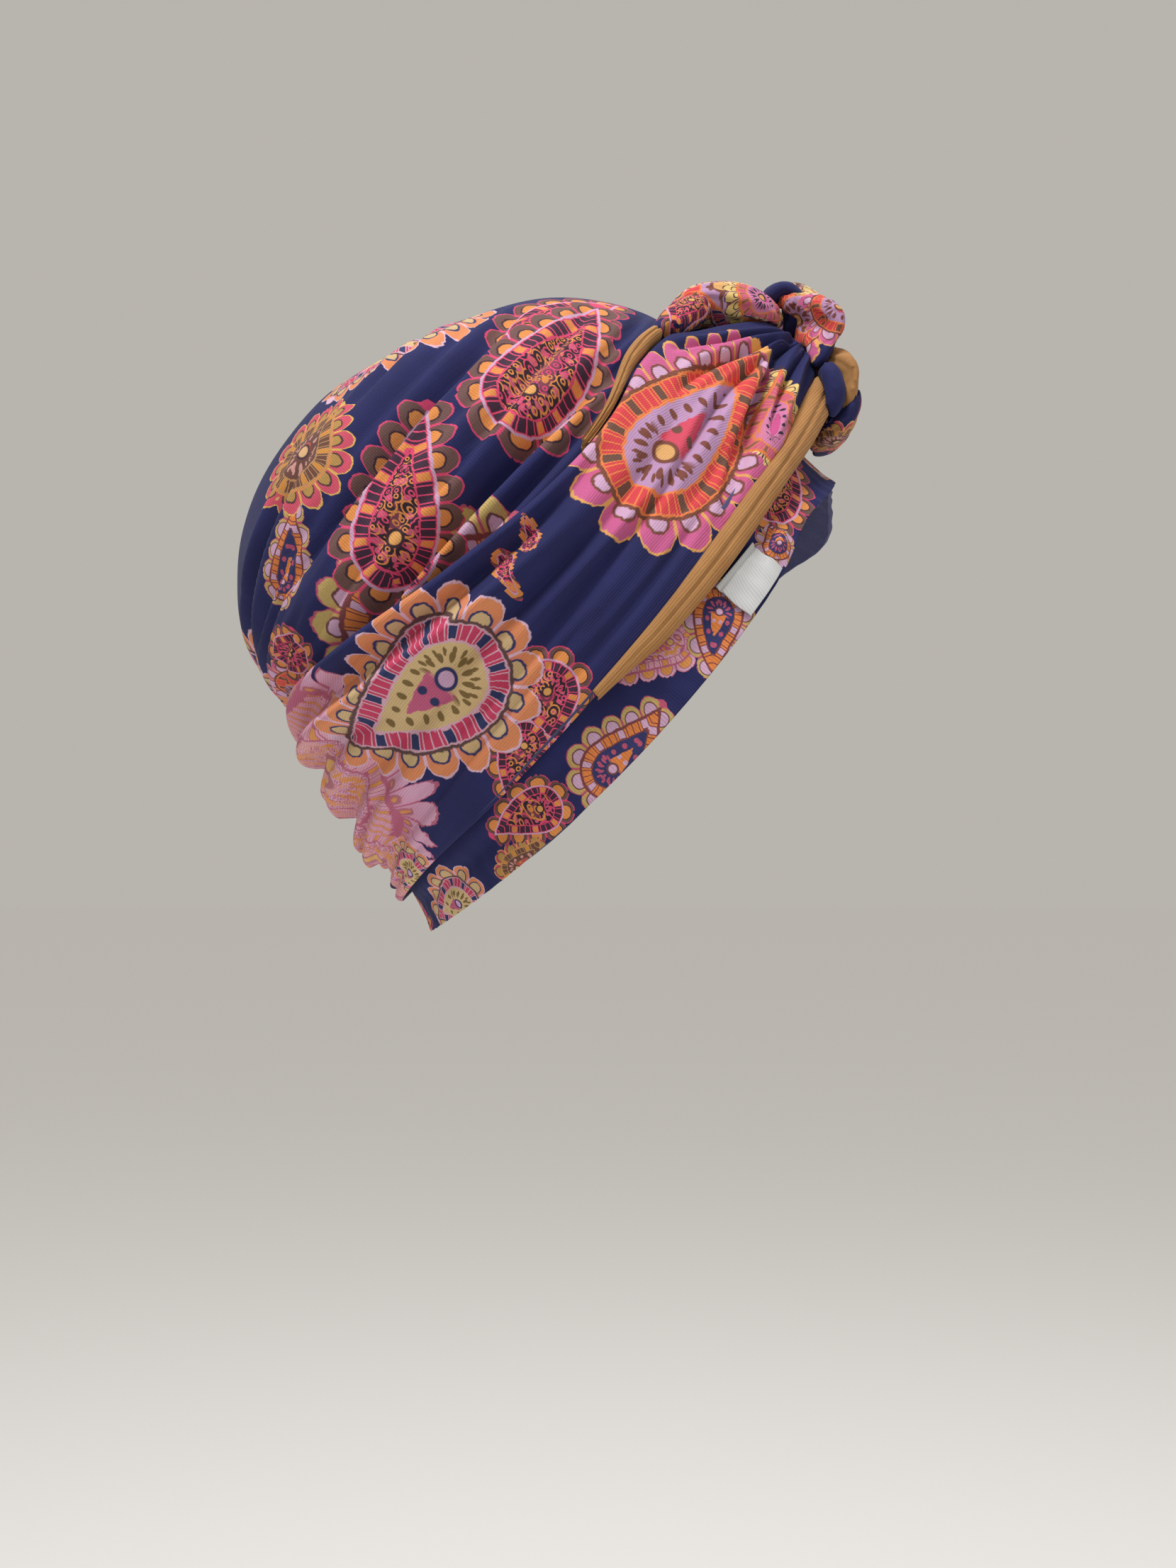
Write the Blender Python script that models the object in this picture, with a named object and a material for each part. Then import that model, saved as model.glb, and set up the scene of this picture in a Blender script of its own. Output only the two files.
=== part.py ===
"""A knotted turban hat of printed jersey, worn shape, made as soft shells around an open head hollow.

The hat has its own tilted frame: "turn" is the angle around the hat, 0 at the knot in front and
positive towards the wearer's right, "way" is the share of the way from the brim's plane up to the
middle of the crown, and "stand" is how far a layer stands off the cap along a ray from inside.
World frame: +X to the wearer's front, +Y to the wearer's left, +Z up, origin on top of the head.
"""
import math

import bmesh
import bpy
import numpy as np
from mathutils import Vector

for old in list(bpy.data.objects):
    bpy.data.objects.remove(old, do_unlink=True)

# Driving sizes, in metres and degrees
HAT_DEPTH = 0.158        # from the brim's plane to the top of the crown bag
HALF_LENGTH = 0.110      # from the middle of the brim to the forehead, and to the nape
HALF_WIDTH = 0.078       # from the middle of the cap to the cloth over an ear
BRIM_DIP = 0.0130        # how far the brim drops over the ears
BRIM_TILT = 48.0         # slope of the brim's plane, forehead up
SEAT_BACK = 0.0263       # brim's middle in front of the seat on top of the head
SEAT_DROP = 0.1408       # brim's middle below that seat
CAP_WALL = 0.0020        # doubled jersey of band and crown
WRAP_WALL = 0.0024       # jersey and its lining in a wrap
HEM_WALL = 0.0030        # rolled tan lining along a wrap's edge
LABEL_WALL = 0.0008      # folded satin ribbon
NAPE_SEAM = 0.3          # turn between a wrap's end and the middle of the nape
LAYER_GAP = 0.0008       # air between two layers of cloth
PIECE_GAP = 0.0004       # air between two rolls of the knot, and between band and crown
EDGE_GAP = 0.0008        # air between a wrap's edge and the lining that shows beside it
WRAP_LOFT = 0.0100       # how far a wrap stands off the cap at its side
FOLD_DEPTH = 0.0045      # depth of a full fold
KNOT_REACH = 0.0300      # half of the knot's length, from the pinch
KNOT_BREADTH = 0.0180    # half of the knot's width across the forehead
KNOT_LOFT = 0.02848      # how far the pinch between the wraps stands off the cap
KNOT_ROLL = 0.0080       # half of the thickness of the knot's fullest roll

RIGHT, LEFT = 1.0, -1.0
CAP_WAY = 0.78 * (HAT_DEPTH + (HALF_LENGTH + HALF_WIDTH) / 2)     # length of a way of 1

# The cap's sections, from the brim's plane to the crown's middle: way, and shares of HAT_DEPTH,
# of HALF_LENGTH twice and of HALF_WIDTH
CAP_SECTIONS = (
    # way    rise   front   back    side
    (0.000, 0.000, 0.985, 0.980, 0.925),
    (0.071, 0.095, 0.990, 0.935, 0.962),
    (0.189, 0.253, 0.992, 0.868, 0.985),
    (0.307, 0.411, 1.000, 0.805, 0.990),
    (0.401, 0.538, 1.005, 0.772, 0.980),
    (0.494, 0.658, 0.935, 0.745, 0.935),
    (0.591, 0.772, 0.805, 0.680, 0.845),
    (0.691, 0.861, 0.605, 0.565, 0.710),
    (0.795, 0.930, 0.375, 0.430, 0.520),
    (0.886, 0.975, 0.185, 0.275, 0.310),
    (1.000, 1.000, 0.002, 0.018, 0.010),
)
# Where the brim's edge drops or lifts beyond its even dip: turn, spread in turn, and drop as a
# share of BRIM_DIP
BRIM_WAVES = (
    (-27, 14, 0.75),
    (38, 12, -0.25),
    (-120, 16, 0.12),
)
BAND_TOP = 0.150         # way at which the band's upper edge is sewn to the crown bag
FOCUS_RISE = 0.28        # share of HAT_DEPTH from which the rays of the dome start
DIP_RISE = 0.13          # share of HAT_DEPTH by which the brim's dip has faded out

# Folds of the crown bag: grooves are positive, soft bulges negative. Ways at the first turn,
# halfway and at the last turn, depth as a share of FOLD_DEPTH, half width as a way
CROWN_FOLDS = (
    # first  last   way    way    way    depth  half width
    (28, 128, 0.595, 0.575, 0.540, 1.30, 0.022),
    (30, 128, 0.372, 0.402, 0.385, 1.50, 0.018),
    (95, 174, 0.700, 0.635, 0.500, 0.90, 0.020),
    (62, 112, 0.500, 0.515, 0.470, 0.50, 0.020),
    (35, 165, 0.470, 0.482, 0.460, -1.10, 0.045),
    (30, 150, 0.690, 0.680, 0.640, -0.80, 0.060),
    (-128, -26, 0.550, 0.600, 0.590, 1.20, 0.022),
    (-140, -30, 0.395, 0.405, 0.372, 1.40, 0.018),
    (-165, -50, 0.470, 0.490, 0.470, -1.00, 0.045),
    (-172, -100, 0.520, 0.640, 0.690, 0.80, 0.020),
    (-105, -50, 0.480, 0.510, 0.500, 0.50, 0.020),
)

# A wrap from the nape to the knot's pinch: turn, way of its front edge and its back edge, and
# its loft at the front edge, the middle and the back edge as shares of WRAP_LOFT
WRAP_SECTIONS = (
    # turn  front   back    loft at front, middle, back
    (180, 0.070, 0.375, 0.52, 0.82, 0.42),
    (165, 0.072, 0.392, 0.48, 0.85, 0.60),
    (145, 0.072, 0.410, 0.42, 0.80, 0.80),
    (120, 0.062, 0.385, 0.38, 0.66, 0.95),
    (95, 0.060, 0.340, 0.36, 0.58, 0.98),
    (75, 0.064, 0.318, 0.36, 0.58, 0.90),
    (55, 0.078, 0.322, 0.38, 0.64, 0.85),
    (40, 0.092, 0.350, 0.50, 0.85, 0.85),
    (30, 0.104, 0.350, 0.72, 1.15, 0.95),
    (22, 0.116, 0.326, 1.05, 1.50, 1.15),
    (13, 0.132, 0.296, 1.70, 2.15, 1.75),
    (6, 0.145, 0.262, 2.45, 2.80, 2.55),
    (3, 0.152, 0.248, 2.70, 2.90, 2.75),
)

# Folds of a wrap: first and last turn, place across it (0 front edge, 1 back edge) at the first
# turn, halfway and at the last turn, depth as a share of FOLD_DEPTH, half width across
RIGHT_FOLDS = (
    # first last  place  place  place  depth  half width
    (122, 180, 0.62, 0.72, 0.78, 1.10, 0.060),
    (108, 180, 0.52, 0.50, 0.48, 1.00, 0.065),
    (114, 180, 0.26, 0.20, 0.16, 1.00, 0.060),
    (60, 178, 0.90, 0.87, 0.92, 1.20, 0.055),
    (56, 132, 0.48, 0.40, 0.33, 0.55, 0.060),
    (40, 118, 0.66, 0.62, 0.62, 0.50, 0.060),
    (8, 62, 0.30, 0.25, 0.30, 0.50, 0.070),
    (66, 178, 0.74, 0.76, 0.84, -0.90, 0.075),
)
LEFT_FOLDS = (
    # first last  place  place  place  depth  half width
    (120, 180, 0.64, 0.70, 0.80, 1.10, 0.060),
    (112, 180, 0.46, 0.50, 0.50, 1.00, 0.065),
    (116, 180, 0.22, 0.20, 0.18, 1.00, 0.060),
    (54, 178, 0.86, 0.88, 0.92, 1.10, 0.055),
    (46, 126, 0.36, 0.42, 0.38, 0.60, 0.060),
    (10, 70, 0.56, 0.52, 0.50, 0.50, 0.070),
    (70, 178, 0.72, 0.76, 0.84, -0.90, 0.075),
)

# The tan lining rolled out along a wrap's front edge: turn, width as a way, and its loft at
# the free edge, the crest and the edge by the wrap as shares of WRAP_LOFT
HEM_SECTIONS = (
    # turn  width   loft at free edge, crest, wrap's edge
    (94, 0.006, 0.40, 0.48, 0.42),
    (80, 0.013, 0.40, 0.58, 0.46),
    (62, 0.023, 0.42, 0.64, 0.50),
    (44, 0.030, 0.44, 0.76, 0.58),
    (30, 0.037, 0.64, 1.00, 0.84),
    (22, 0.042, 0.95, 1.35, 1.15),
    (14, 0.046, 1.40, 1.90, 1.72),
    (7, 0.050, 2.05, 2.52, 2.42),
)

# The narrow tan strip that shows along a wrap's back edge by the knot
STRIP_SECTIONS = (
    # turn  width   loft at wrap's edge, crest, free edge
    (62, 0.005, 0.60, 0.62, 0.54),
    (50, 0.016, 0.64, 0.74, 0.58),
    (40, 0.024, 0.72, 0.84, 0.62),
    (31, 0.022, 0.84, 0.92, 0.70),
)

# The label on the brim: its turns and ways
LABEL_TURNS = (53.5, 65.5)
LABEL_WAYS = (0.003, 0.043)
LABEL_LOFT = 0.17        # share of WRAP_LOFT at which its outer face lies

# The knot's pieces as rolls: along and up in shares of KNOT_REACH, sideways in shares of
# KNOT_BREADTH, thickness in shares of KNOT_ROLL, breadth in shares of KNOT_BREADTH.
# Places are taken from the pinch, where both wraps run together in front.
PINCH_WAY = 0.2183
KNOT_ROLLS = {
    "knot_core": (
        # along  side   up     thick  broad
        (-0.92, 0.00, -0.12, 0.70, 0.50),
        (-0.50, 0.00, -0.22, 1.15, 0.62),
        (-0.05, 0.00, -0.42, 1.25, 0.66),
        (0.25, 0.00, -0.74, 1.05, 0.62),
        (0.42, 0.00, -1.04, 0.60, 0.46),
    ),
    "knot_top_loop": (
        (-1.42, -0.55, 0.02, 0.60, 0.66),
        (-1.20, -0.30, 0.30, 0.94, 0.94),
        (-0.82, 0.00, 0.36, 1.16, 1.14),
        (-0.48, 0.25, 0.30, 1.10, 1.06),
        (-0.18, 0.42, 0.12, 0.88, 0.84),
    ),
    "knot_navy_arch": (
        (-0.27, 0.36, 0.26, 0.36, 0.48),
        (-0.26, 0.34, 0.51, 0.36, 0.54),
        (-0.10, 0.34, 0.63, 0.38, 0.58),
        (0.05, 0.40, 0.55, 0.42, 0.58),
        (0.08, 0.52, 0.30, 0.56, 0.56),
        (0.02, 0.60, 0.04, 0.52, 0.46),
    ),
    "knot_pink_loop": (
        (0.10, -0.45, 0.42, 0.36, 0.70),
        (0.25, -0.10, 0.34, 0.74, 1.10),
        (0.29, 0.25, 0.12, 0.86, 1.34),
        (0.26, 0.55, -0.14, 0.78, 1.05),
    ),
    "knot_tan_loop": (
        (0.32, -0.20, -0.18, 0.50, 0.80),
        (0.48, 0.00, -0.28, 0.72, 1.10),
        (0.55, 0.20, -0.44, 0.80, 1.26),
        (0.56, 0.45, -0.62, 0.70, 0.95),
    ),
    "knot_lower_loop": (
        (0.58, 0.45, -0.72, 0.68, 0.85),
        (0.58, 0.25, -0.90, 0.80, 1.10),
        (0.48, 0.05, -1.06, 0.74, 1.05),
        (0.30, -0.10, -1.16, 0.50, 0.75),
    ),
    "knot_side_roll": (
        (0.40, -0.62, -0.38, 0.42, 0.46),
        (0.46, -0.66, -0.74, 0.58, 0.58),
        (0.34, -0.50, -1.06, 0.44, 0.48),
    ),
    "knot_twist": (
        (-1.72, -2.25, -0.46, 0.50, 0.34),
        (-1.52, -1.80, -0.10, 0.66, 0.42),
        (-1.30, -1.30, 0.14, 0.66, 0.44),
        (-1.08, -0.98, 0.28, 0.50, 0.36),
    ),
}

# Ways of the crown bag's rings above its seam, closer together where its folds run
CROWN_RINGS = (
    0.225, 0.290, 0.335, 0.360, 0.381, 0.402, 0.423, 0.452, 0.490, 0.525, 0.552, 0.575, 0.598,
    0.628, 0.680, 0.740, 0.815, 0.900, 0.985)

# How finely each piece is cut into faces
CAP_COLUMNS = 52
BAND_ROWS = 4
WRAP_COLUMNS = 33
FINER_IN_FRONT = 1.3     # above 1, a strip's columns lie closer together by the knot
WRAP_ROWS = 16
HEM_COLUMNS = 18
STRIP_COLUMNS = 9
HEM_ROWS = 4
FOLD_FADE = 0.7          # below 1, a fold keeps its depth nearer to its ends
ROLL_STATIONS = 12
ROLL_SIDES = 10
ROUND_END = (0.55, 0.86)  # girth of a roll's first two rings as shares of its full girth
TRIM_ANGLE = 7.0         # faces of a cut that differ by less are joined, in degrees
GUIDE_SPAN = 75          # turn to which the cutting guide reaches on either side
GUIDE_WAYS = (0.02, 0.62)
GUIDE_COLUMNS = 121
GUIDE_ROWS = 61
GUIDE_MARGIN = 0.018     # way by which the cutting guide reaches past a strip's edges
GUIDE_TURN = 1.3         # turn by which it reaches past a strip's end
GUIDE_GAP = 0.0011       # air that it leaves over the strips
GUIDE_CORE = 0.030       # how deep it reaches inside the cap

# Colours of the cloth, as the print reads from afar
COLOURS = {
    "navy": (0.040, 0.048, 0.110),
    "plum": (0.170, 0.050, 0.100),
    "pink": (0.640, 0.210, 0.240),
    "tan": (0.440, 0.270, 0.110),
    "white": (0.780, 0.760, 0.720),
}


def blend(rows, column, where):
    """Reads a column of a table smoothly at the given values of its first column."""
    table = sorted(rows)
    xs = np.array([row[0] for row in table], dtype=float)
    ys = np.array([row[column] for row in table], dtype=float)
    slopes = np.gradient(ys, xs)
    at = np.clip(np.asarray(where, dtype=float), xs[0], xs[-1])
    i = np.clip(np.searchsorted(xs, at, side="right") - 1, 0, len(xs) - 2)
    step = xs[i + 1] - xs[i]
    u = (at - xs[i]) / step
    left = (1 + 2 * u) * (1 - u) ** 2 * ys[i] + u * (1 - u) ** 2 * step * slopes[i]
    right = u * u * (3 - 2 * u) * ys[i + 1] + u * u * (u - 1) * step * slopes[i + 1]
    return left + right


def fold_relief(folds, turn, place):
    """Adds up a table of folds: each a soft groove or bulge along a curved line."""
    relief = np.zeros(np.broadcast(turn, place).shape)
    for first, last, at_first, halfway, at_last, depth, half_width in folds:
        u = (turn - first) / (last - first)
        line = at_first * (1 - u) * (1 - 2 * u) + 4 * halfway * u * (1 - u) + at_last * u * (2 * u - 1)
        open_end = 1.0 if abs(last) >= 180 else 0.0
        inside = np.clip(u, 0, 1)
        fade = np.sin(np.pi * inside * (1 - 0.5 * open_end)) ** FOLD_FADE
        relief -= depth * FOLD_DEPTH * fade * np.exp(-((place - line) / half_width) ** 2)
    return relief


def drape(turn, way, stand):
    """World places of points of a layer, from turns in degrees, ways and stands in metres."""
    turn, way, stand = np.broadcast_arrays(np.asarray(turn, float), np.asarray(way, float), stand)
    angle = np.radians(turn)
    rise = blend(CAP_SECTIONS, 1, way) * HAT_DEPTH
    front = blend(CAP_SECTIONS, 2, way) * HALF_LENGTH
    back = blend(CAP_SECTIONS, 3, way) * HALF_LENGTH
    side = blend(CAP_SECTIONS, 4, way) * HALF_WIDTH
    dip_fade = np.clip(1 - rise / (DIP_RISE * HAT_DEPTH), 0, 1) ** 2
    reach = (front + back) / 2 + (front - back) / 2 * np.cos(angle)
    forward = reach * np.cos(angle)
    sideways = -side * np.sin(angle)
    dip = np.sin(angle) ** 2
    for middle, spread, drop in BRIM_WAVES:
        dip = dip + drop * np.exp(-((turn - middle) / spread) ** 2)
    height = rise - BRIM_DIP * dip * dip_fade
    ray_rise = height - np.minimum(height, FOCUS_RISE * HAT_DEPTH)
    ray = np.stack([forward, sideways, ray_rise], axis=-1)
    ray = ray / np.linalg.norm(ray, axis=-1, keepdims=True)
    place = np.stack([forward, sideways, height], axis=-1) + ray * stand[..., None]
    tilt = math.radians(BRIM_TILT)
    x = SEAT_BACK + place[..., 0] * math.cos(tilt) - place[..., 2] * math.sin(tilt)
    z = -SEAT_DROP + place[..., 0] * math.sin(tilt) + place[..., 2] * math.cos(tilt)
    return np.stack([x, place[..., 1], z], axis=-1)


def cap_stand(turn, way):
    """Stand of the cap's outer face: zero, with the crown's folds pressed into it."""
    return fold_relief(CROWN_FOLDS, turn, way)


def lofts(table, turn, across):
    """Loft of a strip of cloth from its two edges and its middle, by a curve through all three."""
    low = blend(table, -3, turn)
    middle = blend(table, -2, turn)
    high = blend(table, -1, turn)
    curve = low * (1 - across) * (1 - 2 * across) + 4 * middle * across * (1 - across)
    return (curve + high * across * (2 * across - 1)) * WRAP_LOFT


def make_object(name, mesh, colour, roughness=0.85):
    """Adds a mesh as an object with its own cloth material."""
    ob = bpy.data.objects.new(name, mesh)
    bpy.context.scene.collection.objects.link(ob)
    cloth = bpy.data.materials.new(name + "_cloth")
    cloth.use_nodes = True
    shader = cloth.node_tree.nodes["Principled BSDF"]
    shader.inputs["Base Color"].default_value = (*COLOURS[colour], 1.0)
    shader.inputs["Roughness"].default_value = roughness
    shader.inputs["Metallic"].default_value = 0.0
    mesh.materials.append(cloth)
    mesh.shade_smooth()
    mesh.set_sharp_from_angle(angle=math.radians(50))
    return ob


def shell_mesh(name, outer, inner, round_hat, capped=False):
    """A closed wall between two grids of points: a strip, or a ring, which may have a cap."""
    rows, columns = outer.shape[0], outer.shape[1]
    bm = bmesh.new()
    out = [[bm.verts.new(p) for p in row] for row in outer]
    inn = [[bm.verts.new(p) for p in row] for row in inner]
    last = columns if round_hat else columns - 1
    for r in range(rows - 1):
        for c in range(last):
            n = (c + 1) % columns
            bm.faces.new((out[r][c], out[r][n], out[r + 1][n], out[r + 1][c]))
            bm.faces.new((inn[r][c], inn[r + 1][c], inn[r + 1][n], inn[r][n]))
    for c in range(last):
        n = (c + 1) % columns
        bm.faces.new((out[0][c], inn[0][c], inn[0][n], out[0][n]))
        if not capped:
            bm.faces.new((out[-1][c], out[-1][n], inn[-1][n], inn[-1][c]))
    if capped:
        bm.faces.new(out[-1])
        bm.faces.new(list(reversed(inn[-1])))
    if not round_hat:
        for r in range(rows - 1):
            bm.faces.new((out[r][0], out[r + 1][0], inn[r + 1][0], inn[r][0]))
            bm.faces.new((out[r][-1], inn[r][-1], inn[r + 1][-1], out[r + 1][-1]))
    bmesh.ops.recalc_face_normals(bm, faces=bm.faces)
    bmesh.ops.triangulate(bm, faces=bm.faces)
    mesh = bpy.data.meshes.new(name)
    bm.to_mesh(mesh)
    bm.free()
    return mesh


def make_band_and_crown():
    """The band against the head and the crown bag sewn to its upper edge."""
    turns = np.linspace(-180, 180, CAP_COLUMNS, endpoint=False)[None, :]
    ways = np.linspace(0, BAND_TOP, BAND_ROWS)[:, None]
    band = shell_mesh("brim_band", drape(turns, ways, 0.0), drape(turns, ways, -CAP_WALL), True)
    make_object("brim_band", band, "navy")
    ways = np.array((BAND_TOP + PIECE_GAP / CAP_WAY, *CROWN_RINGS))[:, None]
    stand = cap_stand(turns, ways)
    crown = shell_mesh(
        "crown_bag", drape(turns, ways, stand), drape(turns, ways, stand - CAP_WALL), True, True)
    make_object("crown_bag", crown, "plum")


def strip_edges(strip, turn):
    """Ways of a strip's edge towards the brim and of its edge towards the crown."""
    if strip["kind"] == "wrap":
        return blend(WRAP_SECTIONS, 1, turn), blend(WRAP_SECTIONS, 2, turn)
    seam = EDGE_GAP / CAP_WAY
    width = blend(strip["sections"], 1, turn)
    if strip["kind"] == "hem":
        front = blend(WRAP_SECTIONS, 1, turn) - seam
        return front - width, front
    back = blend(WRAP_SECTIONS, 2, turn) + seam
    return back, back + width


def strip_stand(strip, turn, across, way):
    """Stand of a strip's outer face, never closer to the cap than its wall and its gap."""
    loft = lofts(strip["sections"], turn, across) + fold_relief(strip["folds"], turn, across)
    return np.maximum(loft, cap_stand(strip["side"] * turn, way) + LAYER_GAP + strip["wall"])


def make_strip(strip):
    """A strip of cloth laid over the cap: its outer face at its loft, its wall inside that."""
    sections = strip["sections"]
    first, last = sections[0][0], sections[-1][0]
    if first >= 180:
        first -= NAPE_SEAM
    u = np.linspace(1, 0, strip["columns"]) ** FINER_IN_FRONT
    turns = (last + (first - last) * u)[None, :]
    across = np.linspace(0, 1, strip["rows"])[:, None]
    low, high = strip_edges(strip, turns)
    ways = low + (high - low) * across
    outer = strip_stand(strip, turns, across, ways)
    under = cap_stand(strip["side"] * turns, ways) + LAYER_GAP
    inner = np.maximum(outer - strip["wall"], under)
    around = strip["side"] * turns
    mesh = shell_mesh(strip["name"], drape(around, ways, outer), drape(around, ways, inner), False)
    return make_object(strip["name"], mesh, strip["colour"])


def all_strips():
    """The wraps and the lining that shows at their edges, on both sides."""
    strips = []
    for word, side, folds in (("right", RIGHT, RIGHT_FOLDS), ("left", LEFT, LEFT_FOLDS)):
        strips.append(dict(
            name="wrap_" + word, kind="wrap", side=side, sections=WRAP_SECTIONS, folds=folds,
            wall=WRAP_WALL, colour="pink", columns=WRAP_COLUMNS, rows=WRAP_ROWS))
        strips.append(dict(
            name="lining_hem_" + word, kind="hem", side=side, sections=HEM_SECTIONS, folds=(),
            wall=HEM_WALL, colour="tan", columns=HEM_COLUMNS, rows=HEM_ROWS))
        strips.append(dict(
            name="lining_strip_" + word, kind="strip", side=side, sections=STRIP_SECTIONS,
            folds=(), wall=HEM_WALL, colour="tan", columns=STRIP_COLUMNS, rows=HEM_ROWS))
    return strips


def make_label():
    """The bare label sewn over the brim in front of the right ear."""
    turns = np.linspace(*LABEL_TURNS, 5)[None, :]
    across = np.linspace(0, 1, 4)[:, None]
    ways = LABEL_WAYS[0] + (LABEL_WAYS[1] - LABEL_WAYS[0]) * across
    outer = np.full((4, 5), LABEL_LOFT * WRAP_LOFT)
    mesh = shell_mesh(
        "label", drape(turns, ways, outer), drape(turns, ways, outer - LABEL_WALL), False)
    make_object("label", mesh, "white", roughness=0.45)


def roll_points(rows, grow):
    """Rings of points of a roll along its table, with round ends, fattened by grow."""
    table = [(float(i), *row) for i, row in enumerate(rows)]
    at = np.linspace(0, len(rows) - 1, ROLL_STATIONS)
    along, side, up = (blend(table, c, at) for c in (1, 2, 3))
    thick = blend(table, 4, at) * KNOT_ROLL
    broad = blend(table, 5, at) * KNOT_BREADTH
    pinch = drape(np.array(0.0), np.array(PINCH_WAY), np.array(KNOT_LOFT))
    path = pinch + np.stack([along * KNOT_REACH, side * KNOT_BREADTH, up * KNOT_REACH], axis=-1)
    ahead = np.gradient(path, axis=0)
    ahead /= np.linalg.norm(ahead, axis=1, keepdims=True)
    full = [1.0] * (ROLL_STATIONS - 2 * len(ROUND_END))
    end = np.array([*ROUND_END, *full, *reversed(ROUND_END)])
    rings = []
    for centre, direction, t, b, e in zip(path, ahead, thick, broad, end):
        axis = Vector(direction)
        sideways = Vector((0, 1, 0))
        sideways = (sideways - axis * sideways.dot(axis)).normalized()
        outward = axis.cross(sideways)
        ring = []
        for k in range(ROLL_SIDES):
            a = 2 * math.pi * k / ROLL_SIDES
            offset = sideways * math.cos(a) * (b * e + grow) + outward * math.sin(a) * (t * e + grow)
            ring.append(Vector(centre) + offset)
        rings.append(ring)
    for ring, direction, sign in ((rings[0], ahead[0], -1), (rings[-1], ahead[-1], 1)):
        for p in ring:
            p += Vector(direction) * grow * sign
    return rings


def roll_mesh(name, rows, grow):
    """A closed roll of cloth as a mesh."""
    rings = roll_points(rows, grow)
    bm = bmesh.new()
    verts = [[bm.verts.new(p) for p in ring] for ring in rings]
    for a, b in zip(verts, verts[1:]):
        for k in range(ROLL_SIDES):
            n = (k + 1) % ROLL_SIDES
            bm.faces.new((a[k], a[n], b[n], b[k]))
    bm.faces.new(list(reversed(verts[0])))
    bm.faces.new(verts[-1])
    bmesh.ops.recalc_face_normals(bm, faces=bm.faces)
    bmesh.ops.triangulate(bm, faces=bm.faces)
    mesh = bpy.data.meshes.new(name)
    bm.to_mesh(mesh)
    bm.free()
    return mesh


def hat_guide():
    """A closed body of everything inside the strips and the cap at the front, for cutting."""
    turns = np.linspace(-GUIDE_SPAN, GUIDE_SPAN, GUIDE_COLUMNS)[None, :]
    ways = np.linspace(*GUIDE_WAYS, GUIDE_ROWS)[:, None]
    stand = cap_stand(turns, ways)
    for strip in all_strips():
        first, last = strip["sections"][0][0], strip["sections"][-1][0]
        around = strip["side"] * turns
        local = np.clip(around, last, first)
        low, high = strip_edges(strip, local)
        inside = (ways > low - GUIDE_MARGIN) & (ways < high + GUIDE_MARGIN)
        inside = inside & (around > last - GUIDE_TURN) & (around < first + GUIDE_TURN)
        across = np.clip((ways - low) / (high - low), 0, 1)
        over = strip_stand(strip, local, across, low + (high - low) * across)
        stand = np.where(inside, np.maximum(stand, over), stand)
    outer = drape(turns, ways, stand + GUIDE_GAP)
    inner = drape(turns, ways, np.full_like(stand, -GUIDE_CORE))
    guide = bpy.data.objects.new("hat_guide", shell_mesh("hat_guide", outer, inner, False))
    bpy.context.scene.collection.objects.link(guide)
    hide_guide(guide)
    return guide


def hide_guide(ob):
    """Marks a cutter, which is no piece of the hat."""
    ob.hide_render = True
    ob.display_type = "WIRE"


def cut(ob, cutters):
    """Cuts a roll by its neighbours and keeps its largest body."""
    for cutter in cutters:
        trim = ob.modifiers.new("trim_" + cutter.name, "BOOLEAN")
        trim.operation = "DIFFERENCE"
        trim.solver = "EXACT"
        trim.object = cutter
    graph = bpy.context.evaluated_depsgraph_get()
    trimmed = bpy.data.meshes.new_from_object(ob.evaluated_get(graph))
    ob.modifiers.clear()
    bm = bmesh.new()
    bm.from_mesh(trimmed)
    bmesh.ops.remove_doubles(bm, verts=bm.verts, dist=2e-5)
    bmesh.ops.dissolve_limit(
        bm, angle_limit=math.radians(TRIM_ANGLE), verts=bm.verts, edges=bm.edges)
    bmesh.ops.triangulate(bm, faces=bm.faces)
    keep_largest_body(bm)
    bmesh.ops.recalc_face_normals(bm, faces=bm.faces)
    bm.to_mesh(ob.data)
    bm.free()


def keep_largest_body(bm):
    """Deletes every loose body but the one with the most faces."""
    left = set(bm.faces)
    bodies = []
    while left:
        queue = [left.pop()]
        body = set(queue)
        while queue:
            for edge in queue.pop().edges:
                for face in edge.link_faces:
                    if face in left:
                        left.discard(face)
                        body.add(face)
                        queue.append(face)
        bodies.append(body)
    largest = max(bodies, key=len)
    spare = [face for face in bm.faces if face not in largest]
    bmesh.ops.delete(bm, geom=spare, context="FACES")


def make_knot():
    """The knot's rolls, each cut clear of the hat and of the rolls made before it."""
    colours = {"knot_tan_loop": "tan", "knot_navy_arch": "navy", "knot_side_roll": "navy"}
    guide = hat_guide()
    grown = [guide]
    for name, rows in KNOT_ROLLS.items():
        ob = make_object(name, roll_mesh(name, rows, 0.0), colours.get(name, "pink"))
        cut(ob, grown)
        cutter = bpy.data.objects.new(name + "_room", roll_mesh(name + "_room", rows, PIECE_GAP))
        bpy.context.scene.collection.objects.link(cutter)
        hide_guide(cutter)
        grown.append(cutter)


make_band_and_crown()
for cloth_strip in all_strips():
    make_strip(cloth_strip)
make_label()
make_knot()
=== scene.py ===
# %% [markdown]
# # A knotted turban hat
# The imported solids say where each piece of the hat lies. Here every piece of cloth is made
# again with fine folds, ribs, seams and its print, and put in place of its plain solid.
# We start by loading the imported model.

# %% Load the imported hat
import math

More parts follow.
